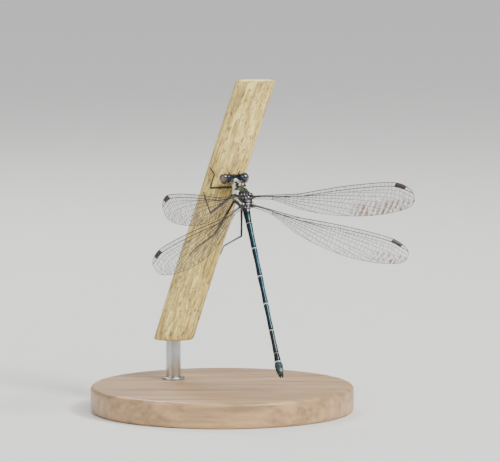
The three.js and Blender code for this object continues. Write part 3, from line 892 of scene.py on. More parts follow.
def bristle_tree():
    """Stands a thin cone on each point, along the direction stored there."""
    kinds = {"Length": "NodeSocketFloat", "Width": "NodeSocketFloat", "Seed": "NodeSocketInt"}
    t = Tree("bristles", {**kinds, "Material": "NodeSocketMaterial"})
    points = t.node("GeometryNodeMeshToPoints", {"Mesh": t.given.outputs["Geometry"]})
    sizes = {"Radius Bottom": t.given.outputs["Width"], "Depth": t.given.outputs["Length"]}
    cone = t.node("GeometryNodeMeshCone", {"Vertices": 5, "Radius Top": 0.0, **sizes})
    direction = {"Vector": t.stored("direction", "FLOAT_VECTOR")}
    turn = t.node("FunctionNodeAlignRotationToVector", direction, axis="Z")
    limits = {"Min": 0.65, "Max": 1.0, "Seed": t.given.outputs["Seed"]}
    size = t.node("FunctionNodeRandomValue", limits, data_type="FLOAT")
    drawn = next(o for o in size.outputs if o.enabled)
    inputs = {"Points": points.outputs[0], "Instance": cone.outputs[0], "Rotation": turn.outputs[0]}
    placed = t.node("GeometryNodeInstanceOnPoints", {**inputs, "Scale": drawn})
    return t.close(placed.outputs[0])


def line_mesh(name, lines, pose):
    """A mesh of edges along each (points, radii) line, in metres, with the thickness on its points."""
    points, edges, widths = [], [], []
    for path, radii in lines:
        start = len(points)
        points.extend(path)
        widths.extend(np.broadcast_to(radii, (len(path),)))
        edges.extend((start + i, start + i + 1) for i in range(len(path) - 1))
    m = np.array(pose)
    placed = (np.array(points) @ m[:3, :3].T + m[:3, 3]) * MM
    mesh = bpy.data.meshes.new(name)
    mesh.from_pydata(placed.tolist(), edges, [])
    put_attribute(mesh, "thickness", "FLOAT", np.array(widths) * MM)
    return mesh


# The insect's body.


def head_shapes():
    spread = [(-1.12, 0.4, 0.5, 0), (-0.86, 0.74, 0.86, -0.02), (-0.6, 0.76, 0.88, 0)]
    spread += [(-0.38, 0.62, 0.78, 0.08), (-0.17, 0.42, 0.64, 0.22), (0, 0.37, 0.6, 0.25)]
    spread += [(-x, d, h, y) for x, d, h, y in reversed(spread[:-1])]
    c, s, flat = circle(40).T
    xs = np.linspace(-1.12, 1.12, 41)
    rings = []
    for x, (deep, high, y) in zip(xs, smoothed(spread, xs)):
        rings.append(np.column_stack([flat + x * EYE_X, y + deep * c, high * s]))
    shapes = [loft(rings)]
    middle = (
        ((0, 0.5, -0.22), (0.8, 0.4, 0.42)),
        ((0, 0.62, -0.55), (0.62, 0.38, 0.26)),
        ((0, 0.66, -0.84), (0.5, 0.32, 0.24)),
        ((0, 0.1, -0.8), (0.56, 0.42, 0.34)),
        ((0, 0.44, 0.56), (0.12, 0.12, 0.11)),
        ((0, 0.16, 0.54), (0.4, 0.16, 0.12)),
    )
    paired = (
        ((0.58, 0.55, -0.72), (0.24, 0.28, 0.34)),
        ((0.27, 0.2, 0.64), (0.11, 0.11, 0.1)),
        ((0.78, 0.5, 0.36), (0.2, 0.2, 0.18)),
        ((0.98, -0.42, 0.15), (0.34, 0.26, 0.5)),
    )
    shapes += [ellipsoid(*lump) for lump in middle]
    for lump in paired:
        shapes += both_sides(ellipsoid(*lump))
    return [moved(shape, HEAD_POSE) for shape in shapes]


def hip_way(hip):
    """The direction in which a leg leaves the body."""
    return unit(np.array((math.copysign(0.35, hip[0]), 0.1, -1)))


def thorax_shapes():
    shapes = [ovals(THORAX, 40, 56, 2.15), ovals(PROTHORAX, 18, 40)]
    neck = curve_through([(-0.02, 3.5, -1.38), (-0.06, 3.8, -1.5), (-0.1, 4.1, -1.62)], 8)
    shapes.append(tube(neck, np.linspace(0.42, 0.3, 8), 20))
    shapes += both_sides(ellipsoid((0.52, 2.15, -1.4), (0.4, 0.8, 0.6)))
    shapes.append(ellipsoid((0, 2.62, -0.62), (0.6, 0.2, 0.46)))
    shapes.append(ellipsoid((0, 3.35, -0.98), (0.46, 0.14, 0.34)))
    plates = (
        ((0, 0.1, 1.55), (0.42, 0.5, 0.3)),
        ((0, -0.48, 1.82), (0.26, 0.24, 0.24)),
        ((0, -1.02, 1.66), (0.36, 0.34, 0.2)),
        ((0, -1.5, 1.5), (0.24, 0.2, 0.2)),
        ((0, -1.98, 1.14), (0.34, 0.24, 0.18)),
    )
    shapes += [ellipsoid(*plate) for plate in plates]
    paired = (
        ((0.5, 0.18, 1.5), (0.26, 0.4, 0.28)),
        ((0.52, -1.02, 1.5), (0.26, 0.34, 0.24)),
        ((0.98, 0.02, 1.42), (0.42, 0.5, 0.3)),
        ((0.9, -0.42, 1.36), (0.3, 0.2, 0.2)),
        ((1.1, 0.34, 1.36), (0.24, 0.2, 0.2)),
        ((0.86, -1.7, 1.2), (0.42, 0.46, 0.3)),
        ((0.78, -2.06, 1.04), (0.24, 0.18, 0.16)),
        ((0.98, -1.36, 1.22), (0.24, 0.18, 0.18)),
    )
    for centre, radii in paired:
        shapes += both_sides(ellipsoid(centre, radii, 24, 14))
    for hip, _, _, _ in LEGS.values():
        hip, down = np.array(hip), hip_way(hip)
        inner = np.array((hip[0] * 0.6, hip[1], hip[2] + 0.8))
        path = [inner, hip - down * 0.2, hip + down * 0.12, hip + down * 0.34]
        shapes.append(tube(path, [0.4, 0.42, 0.38, 0.26], 24))
    return shapes


SPOTS = (  # powdery marks on the back: (x, y, z), (reach along x, along y), how bright
    ((0, -1.2, 1.82), (0.42, 0.09), 0.75),
    ((0, -1.6, 1.6), (0.44, 0.1), 1),
    ((0, -1.92, 1.3), (0.13, 0.12), 0.95),
    ((0, -2.22, 1.1), (0.32, 0.08), 0.95),
    ((0.56, 0.1, 1.72), (0.09, 0.12), 0.6),
    ((0, -0.5, 2.05), (0.13, 0.15), 0.95),
    ((0.42, -0.56, 1.75), (0.11, 0.07), 0.5),
    ((0.98, -1.52, 1.4), (0.17, 0.14), 0.85),
    ((1.12, 0.12, 1.55), (0.1, 0.13), 0.7),
    ((0.86, -0.5, 1.5), (0.08, 0.08), 0.6),
    ((0.55, -2.1, 1.0), (0.14, 0.1), 0.6),
)
SPOT_REACH_UP = 0.42  # each mark's reach along z

# The flank's second stripe, as (y, z) places.
SECOND_STRIPE = ((0.95, -1.75), (0.73, -1.42), (-0.4, 0.05), (-1.0, 0.55), (-1.42, 0.86))


def from_segment(y, z, a, b):
    """Distance in the side view from points to the segment between two (y, z) places."""
    reach = np.subtract(b, a)
    t = np.clip(((y - a[0]) * reach[0] + (z - a[1]) * reach[1]) / reach.dot(reach), 0, 1)
    return np.hypot(y - a[0] - t * reach[0], z - a[1] - t * reach[1])


def flank_marks(x, y, z, wander):
    """How much of the bronze, the white and the paler second stripe each point of the thorax has."""
    slant = y + 0.42 * z + wander
    flank = rise(0.78, 0.62, z + wander) * rise(2.5, 2.25, y)
    bronze = rise(1.22, 1.34, slant) * rise(2.35, 2.2, y)
    white = rise(0.5, 0.57, slant) * rise(1.3, 1.22, slant) * flank
    stripe = np.full(len(x), 9.0)
    for a, b in zip(SECOND_STRIPE, SECOND_STRIPE[1:]):
        stripe = np.minimum(stripe, from_segment(y, z, a, b))
    pale = rise(0.29, 0.22, stripe + wander) * rise(0.28, 0.2, slant) * rise(0.5, 0.7, x)
    white = np.maximum(white, pale * rise(-1.1, -0.6, z + wander))
    lower = rise(1.2, 1.35, slant) * rise(-0.72, -0.9, z + wander)
    lower = lower * rise(0.3, 0.45, x) * rise(-1.85, -1.65, z + wander)
    return bronze * (1 - lower), np.maximum(white, lower * 0.95), pale


def back_spots(x, y, z, ragged):
    """How much of a powdery spot on the back each point has."""
    spots = np.zeros(len(x))
    for (cx, cy, cz), (rx, ry), bright in SPOTS:
        far = np.sqrt(((x - cx) / rx) ** 2 + ((y - cy) / ry) ** 2 + ((z - cz) / SPOT_REACH_UP) ** 2)
        spots = np.maximum(spots, rise(1.25, 0.7, far + ragged) * bright * 0.92)
    return spots


def neck_cream(x, y, z, wander):
    """How much of the neck's cream each point has, apart from its dark blotches and middle line."""
    front_blotch = rise(0.3, 0.2, np.hypot(x - 0.36, (y - 3.02) * 1.1) + wander)
    rear_blotch = rise(0.34, 0.24, np.hypot(x - 0.4, (y - 2.5) * 0.9) + wander)
    blotch = np.maximum(front_blotch, rear_blotch) * rise(-1.2, -1.0, z)
    line = rise(0.07, 0.03, abs(x)) * rise(-1.0, -0.8, z)
    cream = rise(2.2, 2.32, y) * rise(-1.66, -1.46, z + wander)
    return cream * (1 - np.maximum(blotch, line * 0.6))


def head_marks(points, x, y):
    """Which points are the head's, and how much of its white rear and yellow lip each one has."""
    hx, hy, hz = ((points - np.array(HEAD_PLACE)) @ np.array(HEAD_POSE.to_3x3())).T
    from_head = np.sqrt((hx / 2.6) ** 2 + (hy / 1.1) ** 2 + (hz / 1.15) ** 2)
    on_head = rise(3.3, 3.5, y) * rise(1.28, 1.16, from_head)
    on_head = np.maximum(on_head, rise(0.75, 0.95, x) * rise(2.85, 3.0, y))
    rear = rise(-0.14, -0.24, hy + abs(hx) * 0.25) * rise(0.56, 0.44, abs(hx)) * rise(0.6, 0.45, hz)
    lip = on_head * rise(0.95, 1.02, hy) * rise(-0.6, -0.7, hz)
    return on_head, rear, lip


def body_paint(points, settings):
    """Colour, metal and powder at points of the head, prothorax and thorax, in the insect's frame."""
    x, y, z = abs(points[:, 0]), points[:, 1], points[:, 2]
    wander = surf_noise(points, 5.0, 3) * 0.06
    bronze, white, pale = flank_marks(x, y, z, wander)
    white = np.maximum(white, back_spots(x, y, z, surf_noise(points, 13.0, 21) * 0.26))
    underside = rise(-1.95, -2.15, z + wander)
    neck = rise(2.2, 2.32, y)
    cream = neck_cream(x, y, z, wander)
    keel = rise(0.09, 0.05, x) * bronze
    on_head, head_rear, lip = head_marks(points, x, y)
    brown = rise(0.0, 0.5, surf_noise(points, 6.0, 14)) * rise(0.9, 1.2, z) * rise(0.5, 0.3, y)
    dark, metal, powdery = np.array(settings.dark), np.array(settings.metal), np.array(settings.powder)
    tint = np.tile(dark * 1.6, (len(points), 1))
    layers = (
        (brown * 0.8, BACK_BROWN),
        (bronze, settings.bronze),
        (keel * 0.7, dark),
        (pale, settings.pale),
        (white, powdery),
        (underside * (1 - neck), dark),
        (neck, dark * 2),
        (cream, powdery * (0.95, 0.9, 0.78)),
        (on_head, dark * 1.2 + metal * 0.16),
        (lip * 0.8, LIP_YELLOW),
        (on_head * head_rear, powdery * 0.9),
    )
    for mask, colour in layers:
        tint = tint * (1 - mask[:, None]) + np.asarray(colour) * mask[:, None]
    mottle = 0.82 + 0.18 * rise(-0.5, 0.4, surf_noise(points, 17.0, 31))
    powder = np.clip(white + pale * 0.6 + cream, 0, 1) * (1 - on_head * (1 - head_rear))
    shine = np.clip(0.3 * bronze + 0.65 * on_head + 0.3 * (1 - white - pale - cream), 0, 1) * (1 - powder)
    return tint * mottle[:, None], shine, powder


def carve(mesh):
    """Presses the plate joints into the thorax and raises its keel."""
    points, normals = points_of(mesh), normals_of(mesh)
    x, y, z = points.T
    slant = y + 0.42 * z
    side = rise(0.35, 0.6, abs(x)) * rise(2.25, 2.0, y) * rise(1.35, 1.1, z) * rise(-2.45, -2.1, y)
    depth = np.zeros(len(points))
    grooves = ((1.26, 0.06, 0.06), (0.38, 0.07, 0.06), (-0.2, 0.05, 0.05), (-0.95, 0.05, 0.06))
    for place, deep, wide in grooves:
        depth -= deep * np.exp(-(((slant - place) / wide) ** 2)) * side
    keel = np.exp(-((x / 0.06) ** 2)) * rise(0.35, 0.6, y) * rise(2.15, 1.9, y) * rise(-0.6, -0.3, z)
    depth += 0.07 * keel
    for place in (2.28, 2.9, 3.2):
        depth -= 0.05 * np.exp(-(((y - place) / 0.05) ** 2)) * rise(0.95, 0.8, abs(x))
    depth += surf_noise(points, 9.0, 8) * 0.012
    set_points(mesh, points + normals * depth[:, None])


def settle(points):
    """Lowers the wing-bearing back of the thorax and draws it towards the tail."""
    y, z = points[:, 1], points[:, 2]
    share = rise(0.1, 1.3, z) * rise(1.7, 0.5, y) * rise(-2.75, -2.2, y)
    return points + share[:, None] * (0, -0.2, -0.3)


def abdomen_shape():
    """The ten segments as one tube with pressed joints."""
    rings, front = [], ABDOMEN_START
    c, s, flat = circle(ABDOMEN_SIDES, -1).T
    shares = [np.array([0, 0.015, 0.035, 0.06, 0.09]), np.linspace(0.13, 0.9, 12)]
    shares = np.concatenate([*shares, [0.93, 0.955, 0.975, 0.99, 1]])
    for number, (length, first, middle, last) in enumerate(ABDOMEN):
        table = [(0, first * 0.86), (0.035, first * 0.97), (0.09, first), (0.2, first * 0.96), (0.5, middle)]
        table += [(0.85, last * 0.97), (0.95, last), (0.985, last * 0.97), (1, last * 0.86)]
        for share, radius in zip(shares, smoothed(table, shares)[:, 0]):
            height = radius * (1.04 if number < 8 else 0.94)
            y = front - share * length
            rings.append(np.column_stack([radius * s, flat + y, height * c]))
        front -= length
    return loft(rings)


COLOUR_CHANGE_LENGTH = 28  # from the front of the abdomen to where it is greyest
RINGS = (  # pale rings: which joint of the abdomen, how wide, how bright
    (2, 0.07, 0.5),
    (3, 0.1, 0.95),
    (4, 0.1, 0.95),
    (5, 0.1, 0.95),
    (6, 0.09, 0.8),
    (7, 0.05, 0.45),
    (8, 0.11, 0.95),
)


def abdomen_paint(points, settings):
    """Colour, metal and powder at points of the abdomen, in the insect's frame."""
    x, y, z = points.T
    edges = ABDOMEN_START - np.cumsum([0] + [segment[0] for segment in ABDOMEN])
    radius = np.maximum(np.hypot(x, z), 1e-6)
    back = z / radius
    wander = surf_noise(points, 4.0, 5) * 0.04
    white = np.zeros(len(points))
    sweep = 0.12 * (1 - back)
    for number, width, strength in RINGS:
        behind = edges[number] - y
        ring = rise(-0.03, 0.02, behind) * rise(width + sweep + 0.05, width + sweep, behind + wander)
        white = np.maximum(white, strength * ring)
    front_mark = rise(0.2, 0.12, np.hypot(x, (y + 2.75))) * rise(0.2, 0.4, back)
    white = np.maximum(white, front_mark)
    tail_mark = rise(0.26, 0.16, np.hypot(x * 0.7, (y - edges[9] + 0.05)) + wander) * rise(0.2, 0.4, back)
    white = np.maximum(white, tail_mark * 0.3)
    powdered = rise(edges[8] + 0.05, edges[8] - 0.2, y) * rise(-0.6, 0.2, back)
    stripe = rise(0.62, 0.99, back + wander)
    along = np.clip((ABDOMEN_START - y) / COLOUR_CHANGE_LENGTH, 0, 1)
    blend = rise(0.0, 0.3, along)[:, None]
    late = rise(0.55, 0.95, along)[:, None]
    metal = (ABDOMEN_GREEN * (1 - blend) + ABDOMEN_BLUE * blend) * (1 - late) + ABDOMEN_GREY * late
    metal = metal * np.array(settings.metal) / np.array(METAL)
    dark = np.array(settings.dark)
    tint = dark * (1 - stripe[:, None]) + metal * stripe[:, None]
    joint = np.zeros(len(points))
    for edge in edges[1:-1]:
        joint = np.maximum(joint, np.exp(-(((y - edge - 0.12) / 0.12) ** 2)))
    tint = tint * (1 - 0.7 * joint[:, None]) + dark * 0.7 * joint[:, None]
    tint = tint * (1 - 0.5 * powdered[:, None]) + np.array(TAIL_BLUE_GREY) * 0.5 * powdered[:, None]
    claspers = rise(edges[10] - 0.02, edges[10] - 0.12, y)[:, None]
    tint = tint * (1 - 0.75 * claspers) + dark * 0.75 * claspers
    tint = tint * (1 - white[:, None]) + np.array(settings.powder) * white[:, None]
    shine = np.clip(0.35 + 0.4 * stripe - 0.5 * powdered, 0, 1) * (1 - white)
    return tint, shine, np.clip(white + 0.35 * powdered, 0, 1)


def tail_shapes():
    """The two pairs of claspers at the tail's end."""
    end = ABDOMEN_START - sum(segment[0] for segment in ABDOMEN)
    upper = [(0.26, end + 0.25, 0.12), (0.31, end - 0.12, 0.14)]
    upper += [(0.26, end - 0.38, 0.1), (0.1, end - 0.6, 0.02)]
    lower = [(0.16, end + 0.25, -0.2), (0.18, end - 0.1, -0.24), (0.16, end - 0.3, -0.18)]
    upper_radii = np.interp(np.linspace(0, 1, 14), [0, 0.4, 0.8, 1], [0.16, 0.15, 0.14, 0.05])
    lower_radii = np.interp(np.linspace(0, 1, 9), [0, 0.6, 1], [0.15, 0.12, 0.04])
    shapes = both_sides(tube(curve_through(upper, 14), upper_radii, 16))
    return shapes + both_sides(tube(curve_through(lower, 9), lower_radii, 14))


def paint_and_place(mesh, paint, settings, shift=None):
    """Stores the paint of a mesh in the insect's frame, then moves it to its place."""
    points = points_of(mesh)
    tint, shine, powder = paint(points, settings)
    put_attribute(mesh, "tint", "FLOAT_COLOR", np.column_stack([np.clip(tint, 0, 1), np.ones(len(tint))]))
    put_attribute(mesh, "metal", "FLOAT", shine)
    put_attribute(mesh, "powder", "FLOAT", powder)
    if shift:
        points = shift(points)
    set_points(mesh, moved((points, ()), POSE)[0] * MM)


class MakeBody(bpy.types.Operator):
    """Makes the head, thorax and abdomen as painted skins"""

    bl_idname = "damselfly.make_body"
    bl_label = "Make body"

    def execute(self, context):
        settings = context.scene.damselfly_body
        skin = chitin_material("metallic_skin")
        ringed = chitin_material("abdomen_skin", 0.17, 0.12)
        mesh = remeshed(join(thorax_shapes() + head_shapes()), settings.skin_grain)
        relax(mesh, 3)
        carve(mesh)
        paint_and_place(mesh, body_paint, settings, settle)
        add_piece("front_body", mesh, [skin], "thorax", "synthorax", "prothorax", "head")
        rng = np.random.default_rng(HAIR_SEED)
        places, normals = points_of(mesh) / MM, normals_of(mesh)
        chosen = rng.choice(len(places), settings.hairs, replace=False)
        draft = new_mesh("body_hairs", (places[chosen], []))
        backward = -np.array(POSE.to_3x3())[:, 1]
        lean = normals[chosen] + backward * HAIR_LEAN + rng.normal(scale=0.15, size=(settings.hairs, 3))
        put_attribute(draft, "direction", "FLOAT_VECTOR", lean)
        pale = plain_chitin_material("hair_pale", (0.5, 0.46, 0.38), (0.34, 0.3, 0.24), 0.5)
        sizes = {"Length": settings.hair_length * MM, "Width": HAIR_RADIUS * MM, "Seed": HAIR_SIZE_SEED}
        hairs = grown_mesh("body_hairs", draft, bristle_tree(), {**sizes, "Material": pale})
        add_piece("body_hairs", hairs, [], "thorax")
        tail = new_mesh("abdomen", join([abdomen_shape()] + tail_shapes()), scale=1)
        paint_and_place(tail, abdomen_paint, settings)
        nodes = [f"abdomen_{i + 1}" for i in range(len(ABDOMEN))] + ["appendage_left", "appendage_right"]
        add_piece("abdomen", tail, [ringed], "metallic_body", *nodes)
        return {"FINISHED"}


class MakeEyes(bpy.types.Operator):
    """Makes the two compound eyes and the two feelers"""

    bl_idname = "damselfly.make_eyes"
    bl_label = "Make eyes and feelers"

    def execute(self, context):
        settings = context.scene.damselfly_body
        faceted = eye_material("faceted_eye", settings.eye_side, settings.eye_top)
        black = plain_chitin_material("feeler_black", (0.012, 0.01, 0.009), (0.03, 0.022, 0.018), 0.35)
        radii = np.interp(np.linspace(0, 1, 26), FEELER_SHARES, FEELER_RADII)
        pose = POSE @ HEAD_POSE
        for side, label in ((1, "right"), (-1, "left")):
            points, faces = ellipsoid((0, 0, 0), (1, 1, 1), 72, 48)
            # Both eyes are dark towards the head's middle and brown at the sides; the right eye's bigger dark
            # cap is painted shade.
            facing = points @ np.array((-side, -0.1, 0.12)) + EYE_CAP_AND_SHADE_REACH[label]
            mesh = new_mesh(f"eye_{label}_dome", (points * EYE_RADII + (side * EYE_X, 0, 0), faces), pose)
            put_attribute(mesh, "top", "FLOAT", rise(-0.05, 0.5, facing))
            put_attribute(mesh, "low", "FLOAT", rise(0.1, -0.7, points @ np.array((-side * 0.3, 0.2, 0.93))))
            add_piece(f"eye_{label}_dome", mesh, [faceted], "eye", f"eye_{label}")
            lie = unit(np.array((side * 0.35, 0.85, 0.2)))
            foot = np.array((side * 0.78, 0.6, 0.4))
            tips = [foot + lie * reach + np.array((side * 0.1 * b, 0, 0.12 * b)) for reach, b in FEELER_BENDS]
            feeler = new_mesh(f"feeler_{label}", tube(curve_through(tips, 26), radii, 12), pose)
            add_piece(f"feeler_{label}", feeler, [black], "metallic_body", f"antenna_{label}")
        return {"FINISHED"}


# Wings.


def wing_point(wing, share, chord):
    """A point of the membrane's middle surface in the blade's own frame."""
    share, chord = np.broadcast_arrays(np.asarray(share, float), np.asarray(chord, float))
    lead, trail = smoothed(WING_OUTLINE, share.ravel()).T
    lead = lead.reshape(share.shape) * wing["lead"]
    trail = trail.reshape(share.shape) * wing["trail"]
    arch = WING_CAMBER * np.sin(math.pi * np.clip(share, 0, 1)) * np.sin(math.pi * chord)
    pleat = 0.045 * np.sin(chord * 8 * math.pi) * rise(0.1, 0.3, share) * rise(1.0, 0.9, share)
    flat = np.stack([share * wing["length"], lead - (lead + trail) * chord, arch + pleat], -1)
    near_root = (1 - np.clip(share, 0, 1))[..., None] ** 3.3
    return flat + wing["tip_sag"] + (wing["root_sag"] - wing["tip_sag"]) * near_root


def wing_pose(wing, side):
    sweep, dihedral, pitch = (math.radians(a) for a in wing["right" if side > 0 else "left"])
    pose = (
        Matrix.Translation(wing["root"])
        @ Matrix.Rotation(-dihedral, 4, "Y")
        @ Matrix.Rotation(-sweep, 4, "Z")
        @ Matrix.Rotation(pitch, 4, "X")
    )
    return POSE @ (Matrix.Diagonal((side, 1, 1, 1)) @ pose)


def facing_out(shape, side):
    points, faces = shape
    return shape if side > 0 else (points, [tuple(reversed(face)) for face in faces])


def sheet(wing, shares, chords, half):
    """A thin closed shell over the given shares and chords, with its upper and lower faces alike."""
    s, c = np.meshgrid(shares, chords, indexing="ij")
    middle = wing_point(wing, s, c)
    rows, columns = s.shape
    points = np.vstack([(middle + (0, 0, half)).reshape(-1, 3), (middle - (0, 0, half)).reshape(-1, 3)])
    faces, below = [], rows * columns
    for r in range(rows - 1):
        for k in range(columns - 1):
            a, b = r * columns + k, (r + 1) * columns + k
            d, e = b + 1, a + 1
            faces.append((a, e, d, b))
            faces.append((a + below, b + below, d + below, e + below))
    rim = [(r, 0) for r in range(rows)] + [(rows - 1, k) for k in range(1, columns)]
    rim += [(r, columns - 1) for r in range(rows - 2, -1, -1)] + [(0, k) for k in range(columns - 2, 0, -1)]
    ids = [r * columns + k for r, k in rim]
    for a, b in zip(ids, ids[1:] + ids[:1]):
        faces.append((a, b, b + below, a + below))
    return points, faces, s, c


def main_vein_lines(wing):
    """The veins round the edge and the long ones, as (points, radii) lines in the blade's own frame."""
    shares = np.linspace(-0.012, 0.99, EDGE_VEIN_POINTS)
    edge = np.clip(shares, 0, 1)
    front_radii = np.interp(edge, [0, 0.3, 1], [0.075, 0.075, 0.055])
    rear_radii = np.interp(edge, [0, 0.14, 0.2, 1], [0.06, 0.05, 0.038, 0.034])
    tip = wing_point(wing, np.full(9, 0.99), np.linspace(0, 1, 9))
    lines = [
        (wing_point(wing, shares, np.full(EDGE_VEIN_POINTS, EDGE_INSET)), front_radii),
        (wing_point(wing, shares, np.full(EDGE_VEIN_POINTS, 1 - EDGE_INSET)), rear_radii),
        (tip, np.full(9, TIP_RADIUS)),
    ]
    for first, last, places in LONG_VEINS:
        start, end = places[0][0], places[-1][0]
        s = np.linspace(start, end, max(int((end - start) * 90), 12))
        fade = (s - start) / (end - start)
        lines.append((wing_point(wing, s, smoothed(places, s)[:, 0]), first + (last - first) * fade))
    return lines


def chords_at(share):
    """Where the front edge, the long veins and the rear edge lie across the wing at a share of its length."""
    met = [places for _, _, places in LONG_VEINS if places[0][0] <= share <= places[-1][0]]
    return sorted([0.0, 1.0] + [float(smoothed(places, share)[0, 0]) for places in met])


def cross_vein_lines(wing, cell, rng):
    """The net of short veins between the main ones, as (points, radius) lines in the blade's own frame."""
    lines = []
    for share in ROOT_ROWS:
        for chord in zip(chords_at(share), chords_at(share)[1:]):
            lines.append((wing_point(wing, np.full(2, share), np.array(chord)), ROOT_ROW_RADIUS))
    step = cell / wing["length"]
    share = NET_START
    while share < NET_END:
        found = chords_at(share)
        width = wing_point(wing, share, 0.0)[1] - wing_point(wing, share, 1.0)[1]
        for k, (a, b) in enumerate(zip(found, found[1:])):
            if (b - a) * width < CELL_LEAST_WIDTH:
                continue
            if k == 0 and (STIGMA[0] - 0.004 < share < STIGMA[1] + 0.004 or share < FRONT_ROW_START):
                continue
            slip = rng.uniform(-0.28, 0.28) * step
            lean = rng.uniform(-0.3, 0.1) * step + (0 if k < 2 else -0.25 * step)
            s0, s1 = share + slip, min(share + slip + lean, 0.99)
            middle = (a + b) / 2
            if (b - a) * width > CELL_SPLIT_WIDTH:
                off = 0.5 * step
                split = wing_point(wing, [s0, s0 + off, s0 + step * 1.02], [middle] * 3)
                lines.append((wing_point(wing, [s0, s0], [a, middle]), SPLIT_CROSS_RADIUS))
                lines.append((wing_point(wing, [s0 + off, s0 + off], [middle, b]), SPLIT_CROSS_RADIUS))
                lines.append((split, SPLIT_RADIUS))
            else:
                lines.append((wing_point(wing, [s0, (s0 + s1) / 2, s1], [a, middle, b]), CROSS_RADIUS))
        share += step * rng.uniform(0.88, 1.1)
    return lines


def membrane_mesh(name, wing, kind, side, pose, half):
    """The clear sheet, with each point's place on the flat wing and how much painted coppery reflection it
    gets.
    """
    shares = 1 - (1 - np.linspace(0, 1, MEMBRANE_ROWS)) ** 1.35
    shares = np.concatenate([[-0.012], shares[:-1], [0.992]])
    points, faces, s, c = sheet(wing, shares, np.linspace(0, 1, MEMBRANE_COLUMNS), half)
    mesh = new_mesh(name, facing_out((points, faces), side), pose)
    along, across = np.tile(s.ravel() * wing["length"], 2), np.tile(points[: s.size, 1], 2)
    put_attribute(mesh, "wing_place", "FLOAT_VECTOR", np.column_stack([along, across, np.zeros(2 * s.size)]))
    # Painted coppery reflection near the rear edge towards the tip, on the left wings at 0.3 of its strength.
    start = 0.55 if kind == "fore" else 0.74
    rear = rise(0.5, 0.72, c) * rise(start, start + 0.15, s) * (1 if side > 0 else 0.3)
    put_attribute(mesh, "rear", "FLOAT", np.tile(rear.ravel(), 2))
    return mesh


def stigma_shape(wing, side):
    """The dark cell between the front edge and the strong vein, a little thicker than the membrane."""
    shares = np.linspace(*STIGMA, 14)
    inner = smoothed(LONG_VEINS[STRONG_VEIN][2], shares)[:, 0]
    _, faces, s, c = sheet(wing, shares, np.linspace(0, 1, 7), 0)
    chord = np.tile((c * inner[:, None]).ravel(), 2)
    lean = np.tile(((c - 0.5) * -0.012).ravel(), 2)
    place = wing_point(wing, np.tile(s.ravel(), 2) + lean, chord)
    puff = 0.045 + 0.035 * np.sin(np.tile(c.ravel(), 2) * math.pi)
    place[:, 2] += np.where(np.arange(len(place)) < s.size, puff, -puff)
    return facing_out((place, faces), side)


def root_plate_shape(wing, side):
    """The thicker plate that joins the wing to the thorax."""
    _, faces, s, c = sheet(wing, np.linspace(-0.012, 0.05, 16), np.linspace(0, 1, 15), 0)
    narrowed = c * (1 - 0.8 * rise(-0.01, 0.05, s))
    middle = wing_point(wing, s, narrowed).reshape(-1, 3)
    bulge = 0.25 + 0.75 * np.sqrt(np.clip(np.sin(math.pi * c), 0, 1))
    thick = (0.02 + 0.1 * rise(0.045, -0.01, s)) * bulge
    lift = np.outer(thick.ravel(), (0, 0, 1))
    return facing_out((np.vstack([middle + lift, middle - lift]), faces), side)


class MakeWings(bpy.types.Operator):
    """Makes the four wings: clear membranes, their net of veins and the dark cell near each tip"""

    bl_idname = "damselfly.make_wings"
    bl_label = "Make wings"

    def execute(self, context):
        settings = context.scene.damselfly_wings
        clear = membrane_material("clear_membrane", settings.membrane)
        brown = plain_chitin_material("vein_brown", settings.vein, shaded(settings.vein, 1.9), 0.38)
        dark = plain_chitin_material("stigma_dark", settings.stigma, shaded(settings.stigma, 1.6), 0.3)
        tree = strand_tree()
        spots = []
        for kind, form in WINGS.items():
            for side, label in ((1, "right"), (-1, "left")):
                name = f"wing_{kind}_{label}"
                pose = wing_pose(form, side)
                below = Vector((0, -math.sin(VIEW_HEIGHT_ANGLE), -math.cos(VIEW_HEIGHT_ANGLE)))
                down = np.array(pose.to_3x3().inverted() @ below)
                tip_sag, root_sag = form[f"{label}_sag"]
                wing = {**form, "tip_sag": down * tip_sag, "root_sag": down * root_sag}
                membrane = membrane_mesh(f"{name}_membrane", wing, kind, side, pose, settings.membrane_half)
                add_piece(f"{name}_membrane", membrane, [clear], "wing", name)
                rng = np.random.default_rng(VEIN_SEEDS[kind])
                lines = main_vein_lines(wing) + cross_vein_lines(wing, settings.cell, rng)
                draft = line_mesh(f"{name}_veins", lines, pose)
                values = {"Scale": settings.vein_scale, "Sides": 6, "Material": brown}
                add_piece(f"{name}_veins", grown_mesh(f"{name}_veins", draft, tree, values), [], "wing")
                spots += [moved(stigma_shape(wing, side), pose), moved(root_plate_shape(wing, side), pose)]
        add_piece("wing_spots", new_mesh("wing_spots", join(spots)), [dark], "wing")
        return {"FINISHED"}


# Stem, legs and stand.


def stem_centre(z):
    up = np.asarray(z, float) - STEM_MIDDLE
    x = STEM_X + STEM_SLOPE_X * up + STEM_BEND * up**2
    return np.stack([x, STEM_Y + STEM_SLOPE_Y * up, up + STEM_MIDDLE], -1)


def on_stem(z, angle, lift):
    """A point off the stem's surface, as the insect's frame has it."""
    turn = math.radians(angle)
    place = stem_centre(z) + (STEM_ACROSS * math.sin(turn), -STEM_ALONG * math.cos(turn), 0)
    out = np.array((math.sin(turn) / STEM_ACROSS, -math.cos(turn) / STEM_ALONG, 0))
    return np.array(POSE.inverted() @ Vector(place + unit(out) * lift))


